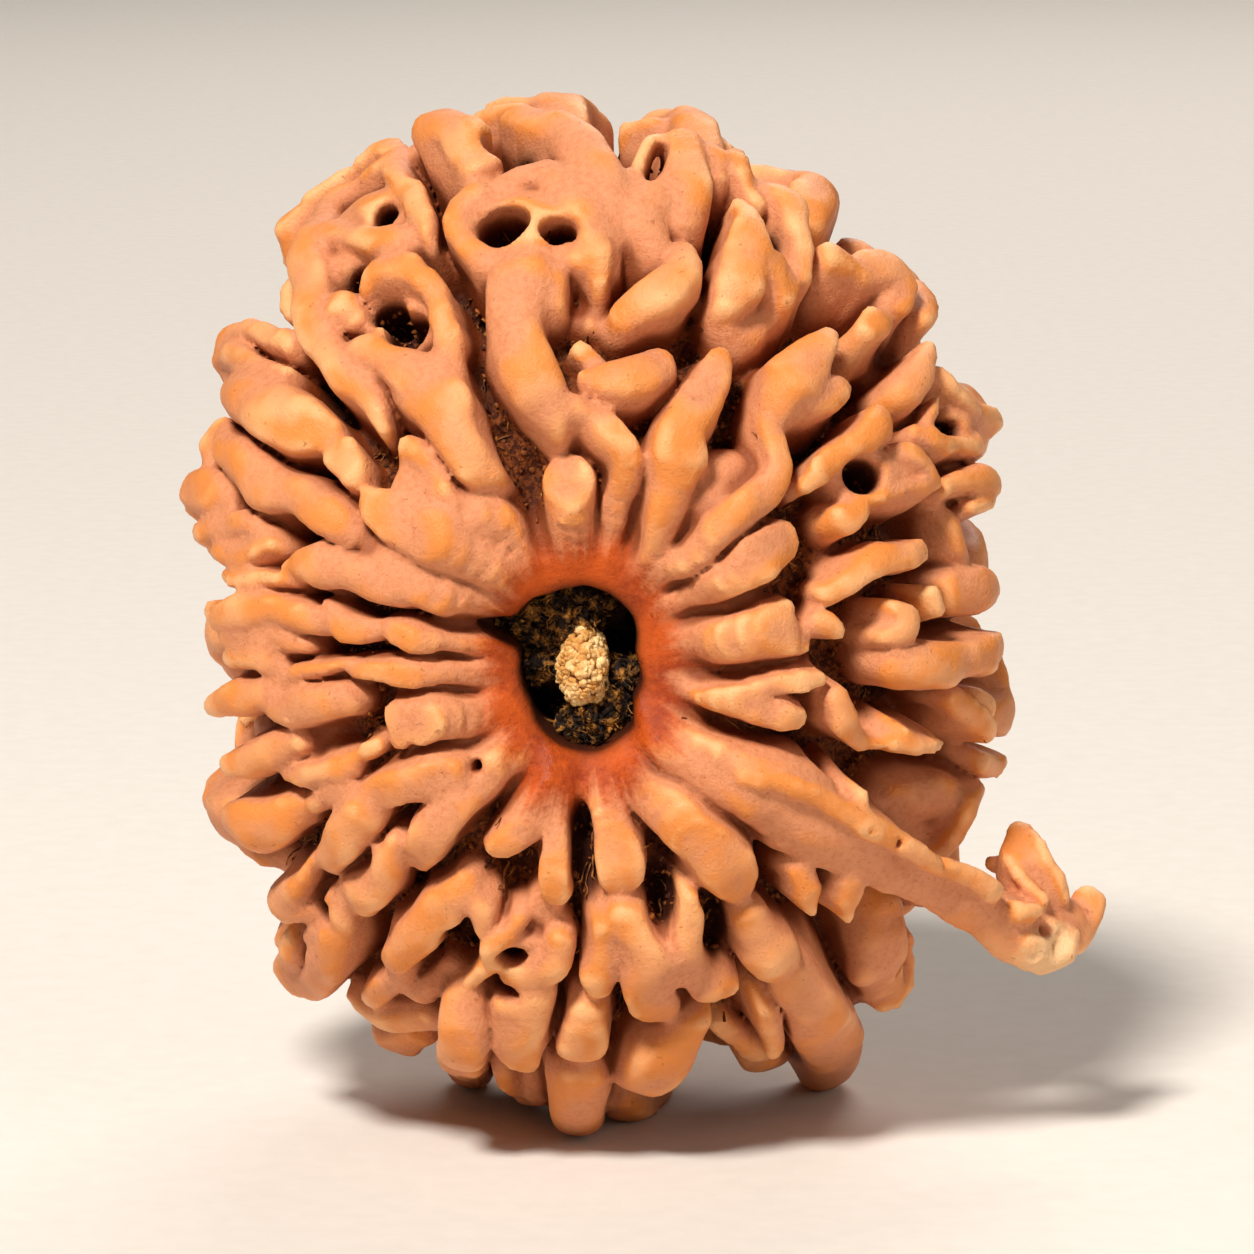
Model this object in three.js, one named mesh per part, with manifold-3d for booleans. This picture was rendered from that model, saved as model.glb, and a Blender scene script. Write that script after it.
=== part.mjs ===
// A rudraksha bead: the woody stone of a rudraksha fruit, bored from front to back, with its
// pith strand and a ring of dried pulp in the mouth of the canal. It stands on its rim on three
// of its lobes. Millimetres, +Z up, the mouth of the canal faces -Y, the origin is under the
// middle of the bead.

import * as THREE from 'three';
import { mergeVertices } from 'three/addons/utils/BufferGeometryUtils.js';
import Module from 'manifold-3d';

const wasm = await Module();
wasm.setup();

// The crests of the ridges lie on an envelope, an ellipsoid with these half sizes.
const envelopeCentre = new THREE.Vector3(-1.7, 0, 17.6);
const envelopeHalf = new THREE.Vector3(14.6, 13, 18);

// The floor of the grooves is a lathed core round the canal's axis, taller than it is wide.
const coreProfile = [
  [0, -10.4], [2.1, -10.5], [3.1, -10.6], [4.4, -9.9], [6.3, -8.8], [8.3, -6.8], [9.8, -3.9],
  [10.4, 0], [9.8, 3.9], [8.3, 6.8], [6, 8.8], [3, 9.8], [0, 10],
];
const coreHeightRatio = 1.27;
const coreSides = 20;

// Every ridge's root lies on this ellipsoid, inside the core.
const rootHalf = new THREE.Vector3(9.2, 8.4, 11.8);

// The canal: its axis, and its radius across along that axis from the front to the back.
const canalX = -2.15;
const canalZ = 17.67;
const canalHeightRatio = 1.33;
const canalProfile = [
  [2.5, -14], [2.5, -11.2], [2.1, -10.4], [2.05, -8.4], [1.9, -6], [1.2, -3], [1.15, 6], [1.3, 9],
  [1.9, 11], [1.9, 14],
];
const canalSides = 16;

// The pith strand: half size across, and half height over it, along the canal from front to back.
const pithProfile = [
  [0.35, -10.1], [0.72, -9.9], [0.92, -9.4], [0.85, -8.8], [0.72, -7.8], [0.68, -6], [0.55, -3.5],
  [0.3, -2.6],
];
const pithSides = 12;
const pithHeightRatio = 1.5;
const pithGrain = 0.07;

// The ring of dried pulp fills the canal round the pith, behind the mouth.
const pulpFront = -8.8;
const pulpBack = -6.4;
const pulpSides = 20;
const pulpSteps = 5;
const pulpLumps = 0.3;
const clearance = 0.3;

// Round the mouth the crests sink into a shallow dish.
const dishDepth = 2.1;
const dishInner = 2.2;
const dishOuter = 6.6;

// The ridges are traced on a square front view of the bead, in its pixels.
const viewPixels = 1254;
const millimetresPerPixel = 0.0347;
const viewDistance = 218;
const viewElevation = THREE.MathUtils.degToRad(10);
const viewAim = new THREE.Vector3(-0.7, 0, 17.2);
const mouthPixel = [583, 668];

// Section of a ridge, in half widths: a rounded crest over walls that spread a little to the roots.
const crestRise = 0.55;
const shoulderSpread = 1;
const shoulderRise = 0.05;
const rootSpread = 1.35;
const tipLength = 0.7;
const tipScale = 0.78;
const tipDrop = 0.2;
const hornDepth = 0.9;
const hornSpread = 0.6;

// A foot runs on this far under the floor, where it is cut flat.
const footHeight = -0.12;

// The finest detail kept: of the joined stone in millimetres, and of a traced path in pixels.
const crestTolerance = 0.12;
const leanPixels = 9;

// Each ridge or lobe is a path of [across, down, half width] in pixels of the front view.
// reach lifts the crest above the envelope, back sets it back along the line of sight, both in
// millimetres. A point with a fourth number lies at that y instead, off the envelope. A horn stands
// free of the core. A foot goes on to [x, y, half width] on the floor.
const crown = [
  { name: 'knob', reach: 0.6, path: [[438, 122, 22], [456, 138, 26], [476, 158, 22]] },
  {
    name: 'arch',
    reach: -0.3,
    path: [[480, 112, 12], [520, 116, 14], [553, 128, 16], [578, 160, 14], [598, 195, 14], [612, 230, 12],
      [612, 262, 12]],
  },
  {
    name: 'arch behind',
    back: 2.5,
    path: [[492, 106, 9], [530, 108, 8], [560, 120, 10], [585, 150, 10], [605, 180, 9]],
  },
  { name: 'eyed lobe left', path: [[500, 188, 16], [468, 210, 18], [468, 235, 18], [490, 262, 20]] },
  {
    name: 'eyed lobe right',
    path: [[500, 188, 16], [540, 175, 18], [570, 195, 20], [592, 225, 18], [600, 255, 16], [600, 275, 10]],
  },
  { name: 'between the eyes', path: [[532, 200, 10], [533, 225, 8], [528, 250, 18]] },
  {
    name: 'stem',
    path: [[525, 262, 32], [517, 300, 26], [515, 335, 24], [525, 370, 30], [548, 405, 24], [552, 420, 14]],
  },
  { name: 'jaw', path: [[548, 262, 14], [550, 300, 10]] },
  { name: 'finger', path: [[592, 372, 14], [630, 372, 22], [660, 362, 22]] },
  { name: 'stem branch', path: [[560, 400, 14], [592, 405, 12]] },
  { name: 'tongue', path: [[566, 472, 27], [568, 505, 24], [573, 540, 16], [577, 568, 7]] },
  {
    name: 'tongue wall',
    reach: -0.2,
    path: [[592, 405, 12], [618, 428, 12], [632, 455, 12], [620, 500, 12], [604, 545, 10], [590, 575, 6]],
  },
];

const upperLeft = [
  {
    name: 'outer rail',
    path: [[352, 188, 16], [328, 215, 18], [312, 255, 20], [308, 300, 20], [320, 340, 18], [345, 375, 18],
      [368, 405, 14], [378, 428, 8]],
  },
  { name: 'outer rail right', path: [[392, 160, 14], [405, 190, 12], [420, 225, 14], [432, 245, 8]] },
  { name: 'outer rail top', path: [[355, 185, 14], [380, 172, 12], [395, 160, 12]] },
  { name: 'outer rail bridge', path: [[325, 232, 16], [362, 236, 14], [402, 248, 16]] },
  { name: 'ring top', path: [[365, 285, 10], [375, 272, 12], [415, 272, 14], [438, 295, 14]] },
  { name: 'ring right', path: [[438, 300, 14], [450, 335, 16], [445, 360, 20]] },
  { name: 'ring bottom', path: [[352, 345, 12], [375, 355, 16], [410, 375, 22], [445, 375, 22]] },
  { name: 'ring left', reach: -0.6, path: [[358, 290, 8], [352, 335, 10]] },
  {
    name: 'ring body',
    path: [[410, 385, 26], [440, 405, 30], [460, 435, 22], [476, 465, 17], [484, 475, 16]],
  },
  { name: 'ring tail', path: [[400, 445, 8], [425, 460, 10], [445, 490, 10], [455, 505, 12]] },
  { name: 'collar lobe', path: [[462, 512, 16], [495, 520, 18], [515, 550, 14], [527, 582, 9]] },
  { name: 'fan', path: [[368, 497, 14], [398, 512, 24], [435, 535, 28], [480, 562, 24], [515, 592, 12]] },
  { name: 'fan upper', reach: -0.3, path: [[410, 462, 12], [420, 490, 22], [440, 515, 22]] },
  { name: 'hump behind', back: 2, path: [[362, 160, 12], [385, 152, 15], [402, 158, 12]] },
  { name: 'shoulder behind', back: 2, path: [[305, 205, 14], [290, 225, 14], [290, 250, 12]] },
];

const left = [
  { name: 'fork upper', path: [[222, 338, 16], [250, 332, 12], [285, 340, 10]] },
  { name: 'fork lower', path: [[222, 352, 16], [250, 365, 12], [280, 375, 10]] },
  { name: 'long lobe', path: [[228, 388, 14], [255, 400, 26], [285, 420, 30], [320, 432, 18]] },
  {
    name: 'wave lobe',
    path: [[222, 432, 12], [240, 460, 24], [262, 487, 24], [295, 495, 18], [325, 515, 20], [350, 530, 14]],
  },
  { name: 'ball', path: [[335, 455, 17], [346, 470, 16]] },
  { name: 'rim lobe 1', path: [[187, 510, 10], [198, 490, 20], [225, 497, 16]] },
  { name: 'rim lobe 2', path: [[198, 528, 10], [240, 525, 11], [265, 532, 9]] },
  { name: 'rim lobe 3', path: [[215, 545, 10], [245, 552, 12], [270, 543, 9]] },
  { name: 'rim lobe 4', path: [[225, 570, 6], [255, 580, 7], [290, 583, 6]] },
  { name: 'arrow lobe', path: [[288, 567, 9], [320, 567, 22], [355, 573, 21], [395, 590, 14]] },
  { name: 'wedge', path: [[372, 548, 14], [400, 572, 19], [435, 592, 19], [475, 605, 13], [515, 608, 9]] },
  { name: 'notched lobe', path: [[322, 604, 9], [342, 625, 16], [365, 628, 14]] },
  { name: 'notched lobe root', path: [[378, 625, 10], [405, 637, 14], [445, 645, 10], [490, 648, 8]] },
  { name: 'level lobe', path: [[350, 673, 10], [390, 675, 13], [440, 677, 10], [480, 675, 9]] },
  { name: 'level lobe rim', path: [[285, 680, 7], [310, 672, 8], [345, 665, 6]] },
  { name: 'square lobe', path: [[388, 716, 12], [420, 722, 22], [460, 717, 17], [490, 712, 12]] },
  { name: 'square lobe tip', path: [[393, 725, 12], [398, 745, 11]] },
  { name: 'rim lobe 5', path: [[212, 612, 9], [245, 612, 16], [290, 618, 15], [325, 622, 12]] },
  { name: 'rim lobe 6', path: [[225, 635, 8], [255, 640, 8], [290, 648, 6]] },
  { name: 'rim lobe 7', path: [[227, 660, 8], [255, 657, 10], [275, 668, 12]] },
  { name: 'rim lobe 8', path: [[212, 705, 10], [240, 702, 18], [275, 690, 12]] },
  { name: 'rim lobe 9', path: [[268, 713, 10], [300, 708, 18], [340, 705, 20]] },
  { name: 'rim lobe 10', path: [[228, 770, 11], [258, 760, 16], [290, 745, 14]] },
  { name: 'rim lobe 11', path: [[280, 777, 7], [310, 778, 12], [345, 770, 13]] },
  { name: 'rim lobe 13', path: [[232, 822, 18], [262, 825, 25], [292, 818, 18]] },
];

const lowerLeft = [
  {
    name: 'pick lobe',
    path: [[360, 795, 9], [400, 787, 18], [445, 775, 20], [485, 765, 14], [510, 760, 8]],
  },
  { name: 'pick lobe leg', path: [[415, 865, 12], [432, 835, 19], [455, 805, 18], [490, 775, 10]] },
  { name: 'claw', path: [[370, 805, 18], [345, 840, 20], [328, 868, 18]] },
  { name: 'claw knob', path: [[302, 816, 8], [320, 805, 10], [345, 795, 12]] },
  { name: 'claw low', path: [[395, 845, 12], [385, 880, 16], [365, 905, 19]] },
  { name: 'ear upper', path: [[275, 912, 13], [290, 890, 14], [312, 868, 10]] },
  {
    name: 'ear loop',
    path: [[292, 948, 12], [292, 975, 16], [308, 985, 17], [325, 965, 20], [335, 935, 20], [345, 910, 15]],
  },
  {
    name: 'low shelf',
    reach: -0.6,
    path: [[352, 998, 10], [375, 1012, 14], [405, 1020, 14], [440, 1022, 12]],
  },
  { name: 'bent lobe', path: [[450, 890, 14], [435, 915, 21], [415, 945, 22]] },
  { name: 'bent lobe foot', reach: -0.6, path: [[380, 980, 16], [410, 985, 22], [440, 975, 18]] },
  { name: 'left foot', path: [[468, 1010, 22], [466, 1050, 23]], foot: [-6.3, 4, 0.8] },
  { name: 'left foot tip', back: 3, path: [[505, 1075, 12], [515, 1095, 11]] },
];

const bottom = [
  { name: 'leg 1', path: [[498, 848, 14], [520, 825, 16], [545, 790, 16], [560, 765, 10]] },
  { name: 'leg 2', path: [[562, 775, 10], [553, 820, 14], [552, 860, 15], [550, 895, 14]] },
  { name: 'leg link', reach: -0.7, path: [[540, 900, 18], [528, 925, 16]] },
  { name: 'loop left', path: [[510, 922, 11], [490, 945, 11], [492, 968, 9]] },
  { name: 'loop right', path: [[550, 945, 17], [545, 965, 17], [530, 975, 12], [505, 985, 11]] },
  { name: 'loop stem', path: [[535, 990, 15], [518, 1012, 24], [520, 1040, 25], [530, 1068, 12]] },
  { name: 'block', path: [[585, 1015, 22], [585, 1050, 25]] },
  { name: 'front foot', path: [[585, 1085, 30], [577, 1105, 26]], foot: [-2.4, -3.4, 0.9] },
  { name: 'toe', path: [[640, 1085, 22], [665, 1060, 28], [690, 1030, 20]] },
  { name: 'leg 3', path: [[600, 780, 13], [610, 830, 22], [620, 875, 24]] },
  {
    name: 'long leg',
    path: [[615, 768, 12], [650, 800, 18], [690, 835, 22], [725, 870, 25], [737, 895, 17]],
  },
  { name: 'web left', path: [[605, 940, 20], [597, 970, 18], [600, 985, 13]] },
  { name: 'web middle', path: [[625, 925, 20], [645, 960, 26], [660, 1008, 24]] },
  {
    name: 'web right',
    path: [[690, 900, 9], [690, 950, 16], [710, 985, 18], [722, 995, 13]],
  },
  { name: 'web', path: [[650, 955, 22], [700, 975, 20]] },
  { name: 'knuckle', path: [[752, 925, 22], [765, 950, 28], [775, 965, 25]] },
  { name: 'knuckle right', reach: -0.5, path: [[800, 965, 16], [815, 985, 14]] },
  { name: 'right foot', path: [[790, 985, 18], [815, 1015, 25], [830, 1045, 27]], foot: [6.4, 3.8, 0.85] },
  { name: 'right foot toe', path: [[768, 1015, 14], [778, 1055, 12]] },
  { name: 'back toe', back: 3, path: [[720, 1025, 12], [745, 1050, 12], [765, 1058, 10]] },
  { name: 'thorn 1', path: [[797, 875, 14], [805, 893, 13], [813, 910, 5]] },
  { name: 'thorn 2', path: [[848, 880, 15], [847, 905, 12], [848, 918, 8]] },
  { name: 'trunk leg', path: [[875, 930, 33], [875, 965, 27], [883, 1005, 13]] },
];

const trunk = [
  {
    name: 'trunk',
    path: [[655, 745, 14, -11], [745, 795, 30, -11.2], [790, 805, 33, -10.8], [840, 830, 28, -10],
      [890, 860, 25, -9]],
  },
  {
    name: 'trunk end',
    horn: true,
    path: [[870, 848, 26, -9.4], [940, 885, 26, -7.8], [990, 912, 26, -6.6], [1035, 940, 28, -5.4],
      [1062, 945, 22, -5]],
  },
  { name: 'trunk shoulder', path: [[700, 752, 8], [760, 770, 14], [805, 785, 18], [830, 800, 16]] },
  { name: 'thin ridge', path: [[640, 722, 7], [680, 742, 8], [720, 755, 9]] },
  {
    name: 'trunk crest',
    horn: true,
    path: [[1025, 838, 14, -3.6], [1030, 865, 22, -4], [1042, 905, 26, -4.6]],
  },
  { name: 'trunk crest spur', horn: true, path: [[990, 862, 8, -3.2], [1020, 864, 9, -3.8]] },
  {
    name: 'trunk nose',
    horn: true,
    path: [[1050, 918, 20, -4.4], [1080, 917, 16, -3.8], [1100, 916, 15, -3.4]],
  },
];

const right = [
  { name: 'bar 1', path: [[690, 645, 10], [730, 638, 18], [770, 630, 22], [805, 637, 16]] },
  { name: 'bar 1 tip', path: [[770, 615, 12], [793, 607, 11]] },
  { name: 'bead tip', path: [[828, 622, 13], [842, 634, 8]] },
  { name: 'bar 2', path: [[700, 700, 8], [740, 697, 12], [780, 684, 10], [820, 681, 9]] },
  { name: 'bar 2 low', path: [[740, 705, 10], [780, 718, 14], [800, 723, 11]] },
  { name: 'bean', path: [[838, 702, 15], [845, 725, 14], [865, 740, 9], [883, 744, 5]] },
  { name: 'spike 1', path: [[895, 742, 10], [925, 740, 8], [948, 740, 4]] },
  { name: 'rim lobe 14', path: [[960, 700, 12], [975, 720, 14], [985, 738, 10]] },
  { name: 'rim lobe 16', path: [[985, 762, 10], [998, 767, 9]] },
  { name: 'hollow wall', reach: -1, path: [[900, 800, 18], [930, 800, 24], [965, 790, 20]] },
  { name: 'hollow wall low', path: [[950, 850, 12], [960, 820, 12], [980, 790, 12]] },
  { name: 'mitt upper', path: [[940, 655, 8], [975, 650, 14], [1005, 642, 12]] },
  { name: 'mitt lower', path: [[900, 668, 20], [940, 668, 18], [985, 663, 10], [1000, 655, 8]] },
  { name: 'hook', path: [[885, 640, 10], [905, 630, 14], [912, 625, 12]] },
  { name: 'rim lobe 17', back: 1, path: [[960, 590, 25], [990, 592, 20]] },
  { name: 'bar 3', path: [[835, 592, 12], [860, 572, 12], [895, 558, 13], [925, 545, 13]] },
  { name: 'bar 3 wall', reach: -0.8, path: [[945, 510, 16], [955, 545, 18], [965, 570, 14]] },
  { name: 'rim lobe 18', path: [[955, 485, 10], [980, 475, 14], [995, 478, 12]] },
  { name: 'rim lobe 18 low', path: [[975, 505, 8], [992, 495, 9]] },
];

const upperRight = [
  {
    name: 'ring 2 top',
    path: [[805, 482, 10], [835, 462, 12], [862, 440, 14], [878, 420, 14], [885, 432, 10]],
  },
  { name: 'ring 2 right', path: [[900, 450, 12], [920, 462, 14], [938, 478, 12]] },
  { name: 'ring 2 knob', path: [[848, 515, 17], [862, 508, 14]] },
  { name: 'ring 2 rail', path: [[870, 500, 8], [900, 495, 9], [930, 488, 9]] },
  { name: 'mitten', path: [[830, 335, 13], [812, 360, 22], [795, 385, 30], [775, 415, 22]] },
  { name: 'mitten thumb', path: [[795, 400, 25], [825, 398, 18], [845, 387, 11]] },
  {
    name: 'serpent',
    path: [[720, 360, 15], [703, 390, 18], [683, 425, 18], [680, 455, 22], [668, 495, 18], [660, 540, 16],
      [652, 575, 12]],
  },
  {
    name: 'serpent rail',
    path: [[768, 430, 12], [778, 462, 14], [752, 498, 16], [718, 530, 16], [690, 560, 14], [655, 582, 10]],
  },
  { name: 'serpent fill', reach: -0.8, path: [[725, 470, 28], [700, 520, 26]] },
  { name: 'serpent link', reach: -0.5, path: [[765, 405, 14], [770, 440, 14]] },
  {
    name: 'bar 4',
    path: [[785, 535, 22], [760, 555, 22], [730, 575, 16], [695, 598, 10], [665, 612, 8]],
  },
  { name: 'flame', path: [[683, 250, 14], [680, 275, 18], [655, 298, 20], [630, 310, 18]] },
  { name: 'peak', path: [[742, 205, 9], [742, 240, 18], [738, 275, 20], [733, 300, 16]] },
  { name: 'peak side', path: [[760, 255, 18], [780, 280, 13]] },
  { name: 'slit lobe', path: [[685, 140, 18], [685, 175, 22], [680, 210, 24]] },
  { name: 'slit lobe left', path: [[660, 145, 11], [643, 168, 9], [630, 192, 9]] },
  { name: 'slit lobe low', path: [[660, 185, 20], [645, 215, 22], [650, 240, 18]] },
  { name: 'nub 1', path: [[715, 150, 12], [722, 175, 12]] },
  { name: 'nub 2', path: [[738, 155, 12], [745, 178, 10], [758, 195, 8]] },
  { name: 'ear', path: [[768, 185, 14], [790, 203, 16], [795, 235, 12], [803, 270, 12]] },
  { name: 'ear low', path: [[775, 262, 14], [790, 280, 12]] },
  { name: 'cloud 1', path: [[835, 255, 20], [850, 262, 18]] },
  { name: 'cloud 2', path: [[870, 270, 22], [895, 275, 22], [900, 300, 20]] },
  { name: 'cloud 3', path: [[925, 290, 16], [925, 315, 16]] },
  { name: 'cloud nub', path: [[868, 333, 13], [890, 320, 11]] },
  { name: 'cloud low', path: [[930, 348, 9], [920, 370, 15], [915, 390, 20]] },
  { name: 'loop 3 upper', path: [[940, 375, 10], [958, 395, 10], [980, 412, 10], [998, 419, 10]] },
  { name: 'loop 3 lower', path: [[925, 435, 12], [950, 445, 9], [985, 440, 8]] },
];

const tracedRidges = [
  ...crown, ...upperLeft, ...left, ...lowerLeft, ...bottom, ...trunk, ...right, ...upperRight,
];

// The back, which the front view doesn't show, follows a rule: ridges run over the rim to the back
// mouth, broken into lobes, with side bumps and bridges drawn from a seeded sequence.
const backRidgeCount = 20;
const backFirstAngle = THREE.MathUtils.degToRad(95.7);
const backSeed = 20;
const bumpShare = 0.3;
const backLobes = [
  { from: -12, to: 33, halfWidth: 0.95, reach: -0.5, arched: true },
  { from: 42, to: 68, halfWidth: 0.8, reach: -0.5, arched: false },
];

const forward = new THREE.Vector3(0, Math.cos(viewElevation), -Math.sin(viewElevation));
const across = new THREE.Vector3(1, 0, 0);
const upward = new THREE.Vector3(0, Math.sin(viewElevation), Math.cos(viewElevation));
const eye = viewAim.clone().addScaledVector(forward, -viewDistance);

function smoothStep(low, high, value) {
  return THREE.MathUtils.smoothstep(value, low, high);
}

function seededDraw(seed) {
  let state = seed;
  return () => {
    state = (state * 16807) % 2147483647;
    return state / 2147483647;
  };
}

// Where the line of sight through a pixel meets the envelope grown by reach, or passes it closest,
// or where it meets the plane at the given y
function pointOnSight([u, v, , y], reach, back) {
  const direction = forward.clone().multiplyScalar(viewDistance);
  direction.addScaledVector(across, (u - viewPixels / 2) * millimetresPerPixel);
  direction.addScaledVector(upward, (viewPixels / 2 - v) * millimetresPerPixel);
  if (y !== undefined) return eye.clone().addScaledVector(direction, (y - eye.y) / direction.y);
  const fromMouth = Math.hypot(u - mouthPixel[0], (v - mouthPixel[1]) / canalHeightRatio);
  const sunk = dishDepth * (1 - smoothStep(dishInner, dishOuter, fromMouth * millimetresPerPixel));
  const half = envelopeHalf.clone().addScalar(reach - sunk);
  const start = eye.clone().sub(envelopeCentre).divide(half);
  const step = direction.clone().divide(half);
  const a = step.lengthSq();
  const b = start.dot(step);
  const inside = b * b - a * (start.lengthSq() - 1);
  const travel = (-b - Math.sqrt(Math.max(inside, 0))) / a;
  return eye.clone().addScaledVector(direction, travel + back / viewDistance);
}

function rootUnder(point) {
  const fromCentre = point.clone().sub(envelopeCentre);
  const size = fromCentre.clone().divide(rootHalf).length();
  return envelopeCentre.clone().addScaledVector(fromCentre, Math.min(1 / size, 0.97));
}

// One section of a ridge: crest, shoulders and roots, clockwise as seen along the ridge
function ridgeSection(middle, root, along, halfWidth, rootWidth) {
  const out = middle.clone().sub(root).normalize();
  const side = along.clone().cross(out).normalize();
  const place = (base, sideways, outward) =>
    base.clone().addScaledVector(side, sideways).addScaledVector(out, outward);
  return [
    place(middle, 0, crestRise * halfWidth),
    place(middle, shoulderSpread * halfWidth, shoulderRise * halfWidth),
    place(root, rootWidth, 0),
    place(root, -rootWidth, 0),
    place(middle, -shoulderSpread * halfWidth, shoulderRise * halfWidth),
  ];
}

// A closed solid between two sections
function solidBetween(first, last) {
  const sides = first.length;
  const corners = [...first, ...last];
  const triangles = [];
  for (let j = 0; j < sides; j += 1) {
    const next = (j + 1) % sides;
    triangles.push(j, next, sides + next);
    triangles.push(j, sides + next, sides + j);
  }
  for (let j = 1; j < sides - 1; j += 1) {
    triangles.push(0, j + 1, j);
    triangles.push(sides, sides + j, sides + j + 1);
  }
  return new wasm.Manifold(new wasm.Mesh({
    numProp: 3,
    vertProperties: new Float32Array(corners.flatMap((corner) => corner.toArray())),
    triVerts: new Uint32Array(triangles),
  }));
}

// A ridge through crest points with half widths, one solid for each stretch, with blunt ends
function ridgeSolids(crests, halfWidths, horn = false) {
  const last = crests.length - 1;
  const along = crests.map((_, i) =>
    crests[Math.min(i + 1, last)].clone().sub(crests[Math.max(i - 1, 0)]).normalize());
  const sections = crests.map((crest, i) => {
    const isTip = i === 0 || i === last;
    const halfWidth = halfWidths[i] * (isTip ? tipScale : 1);
    const root = rootUnder(crest);
    const out = crest.clone().sub(root).normalize();
    const end = crest.clone();
    if (isTip) {
      const sign = i === 0 ? -1 : 1;
      end.addScaledVector(along[i], sign * tipLength * halfWidths[i]);
      end.addScaledVector(out, -tipDrop * halfWidths[i]);
    }
    if (horn) root.copy(end).addScaledVector(out, -hornDepth * halfWidth);
    return ridgeSection(end, root, along[i], halfWidth, (horn ? hornSpread : rootSpread) * halfWidth);
  });
  return sections.slice(1).map((section, i) => solidBetween(sections[i], section));
}

// The path without the points that lie close to the straight line between the points kept
function leanPath(path) {
  const [first, last] = [path[0], path.at(-1)];
  const span = Math.hypot(last[0] - first[0], last[1] - first[1]);
  const offsets = path.map((point) => {
    const reached = [0, 1].reduce((sum, k) => sum + (point[k] - first[k]) * (last[k] - first[k]), 0);
    const share = reached / span ** 2;
    return Math.hypot(...[0, 1, 2].map((k) => point[k] - first[k] - share * (last[k] - first[k])));
  });
  const furthest = offsets.indexOf(Math.max(...offsets));
  if (offsets[furthest] < leanPixels) return [first, last];
  return [...leanPath(path.slice(0, furthest + 1)), ...leanPath(path.slice(furthest)).slice(1)];
}

function tracedSolids({ path: traced, reach = 0, back = 0, horn = false, foot }) {
  const path = leanPath(traced);
  const crests = path.map((point) => pointOnSight(point, reach, back));
  const halfWidths = path.map(([, , halfWidth]) => halfWidth * millimetresPerPixel);
  if (foot) {
    crests.push(new THREE.Vector3(foot[0], foot[1], footHeight));
    halfWidths.push(foot[2]);
  }
  return ridgeSolids(crests, halfWidths, horn);
}

// A point over the back of the bead: an angle round the canal and an angle from the rim to the back
function pointOnBack(angle, fromRim, reach) {
  const half = envelopeHalf.clone().addScalar(reach);
  const latitude = THREE.MathUtils.degToRad(fromRim);
  return new THREE.Vector3(
    Math.cos(latitude) * Math.cos(angle) * half.x,
    Math.sin(latitude) * half.y,
    Math.cos(latitude) * Math.sin(angle) * half.z,
  ).add(envelopeCentre);
}

function backSolids() {
  const draw = seededDraw(backSeed);
  const spread = (size) => (draw() * 2 - 1) * size;
  const spacing = (2 * Math.PI) / backRidgeCount;
  const solids = [];
  for (let k = 0; k < backRidgeCount; k += 1) {
    const angle = backFirstAngle + spacing * (k + spread(0.1));
    backLobes.forEach(({ from, to, halfWidth, reach, arched }) => {
      const lean = spread(0.25) * spacing;
      const start = from + spread(2.5);
      const end = to + spread(3);
      const middle = (start + end) / 2;
      const lift = reach + spread(0.25);
      const width = halfWidth * (1 + spread(0.2));
      const crests = [
        pointOnBack(angle + lean, start, lift - 0.3),
        pointOnBack(angle - lean, end, lift - 0.3),
      ];
      if (arched) crests.splice(1, 0, pointOnBack(angle, middle, lift));
      solids.push(...ridgeSolids(crests, crests.map((_, i) => width * (i === 1 ? 1 : 0.85))));
      if (draw() < bumpShare) {
        const turn = draw() < 0.5 ? -1 : 1;
        const bump = [
          pointOnBack(angle, middle, lift - 0.1),
          pointOnBack(angle + turn * spacing * 0.42, middle + spread(5), lift - 0.4),
        ];
        solids.push(...ridgeSolids(bump, [width * 0.7, width * 0.75]));
      }
    });
  }
  return solids;
}

function solidFromGeometry(geometry) {
  const bare = geometry.clone();
  bare.deleteAttribute('normal');
  bare.deleteAttribute('uv');
  const merged = mergeVertices(bare, 1e-3);
  return new wasm.Manifold(new wasm.Mesh({
    numProp: 3,
    vertProperties: new Float32Array(merged.attributes.position.array),
    triVerts: new Uint32Array(merged.index.array),
  }));
}

function geometryFromSolid(solid) {
  const mesh = solid.getMesh();
  const geometry = new THREE.BufferGeometry();
  geometry.setAttribute('position', new THREE.BufferAttribute(mesh.vertProperties, 3));
  geometry.setIndex(new THREE.BufferAttribute(mesh.triVerts, 1));
  geometry.computeVertexNormals();
  return geometry;
}

// A profile of [radius, y] turned about the canal's axis and stretched upwards
function turnedAboutCanal(profile, sides, heightRatio) {
  const points = profile.map(([radius, y]) => new THREE.Vector2(radius, y));
  const geometry = new THREE.LatheGeometry(points, sides);
  geometry.scale(1, 1, heightRatio);
  geometry.translate(canalX, 0, canalZ);
  return geometry;
}

// The outer skin alone: loose scraps are dropped and sealed hollows are filled
function largestBody(solid) {
  const bodies = solid.decompose();
  bodies.sort((first, second) => second.volume() - first.volume());
  return bodies[0];
}

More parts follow.
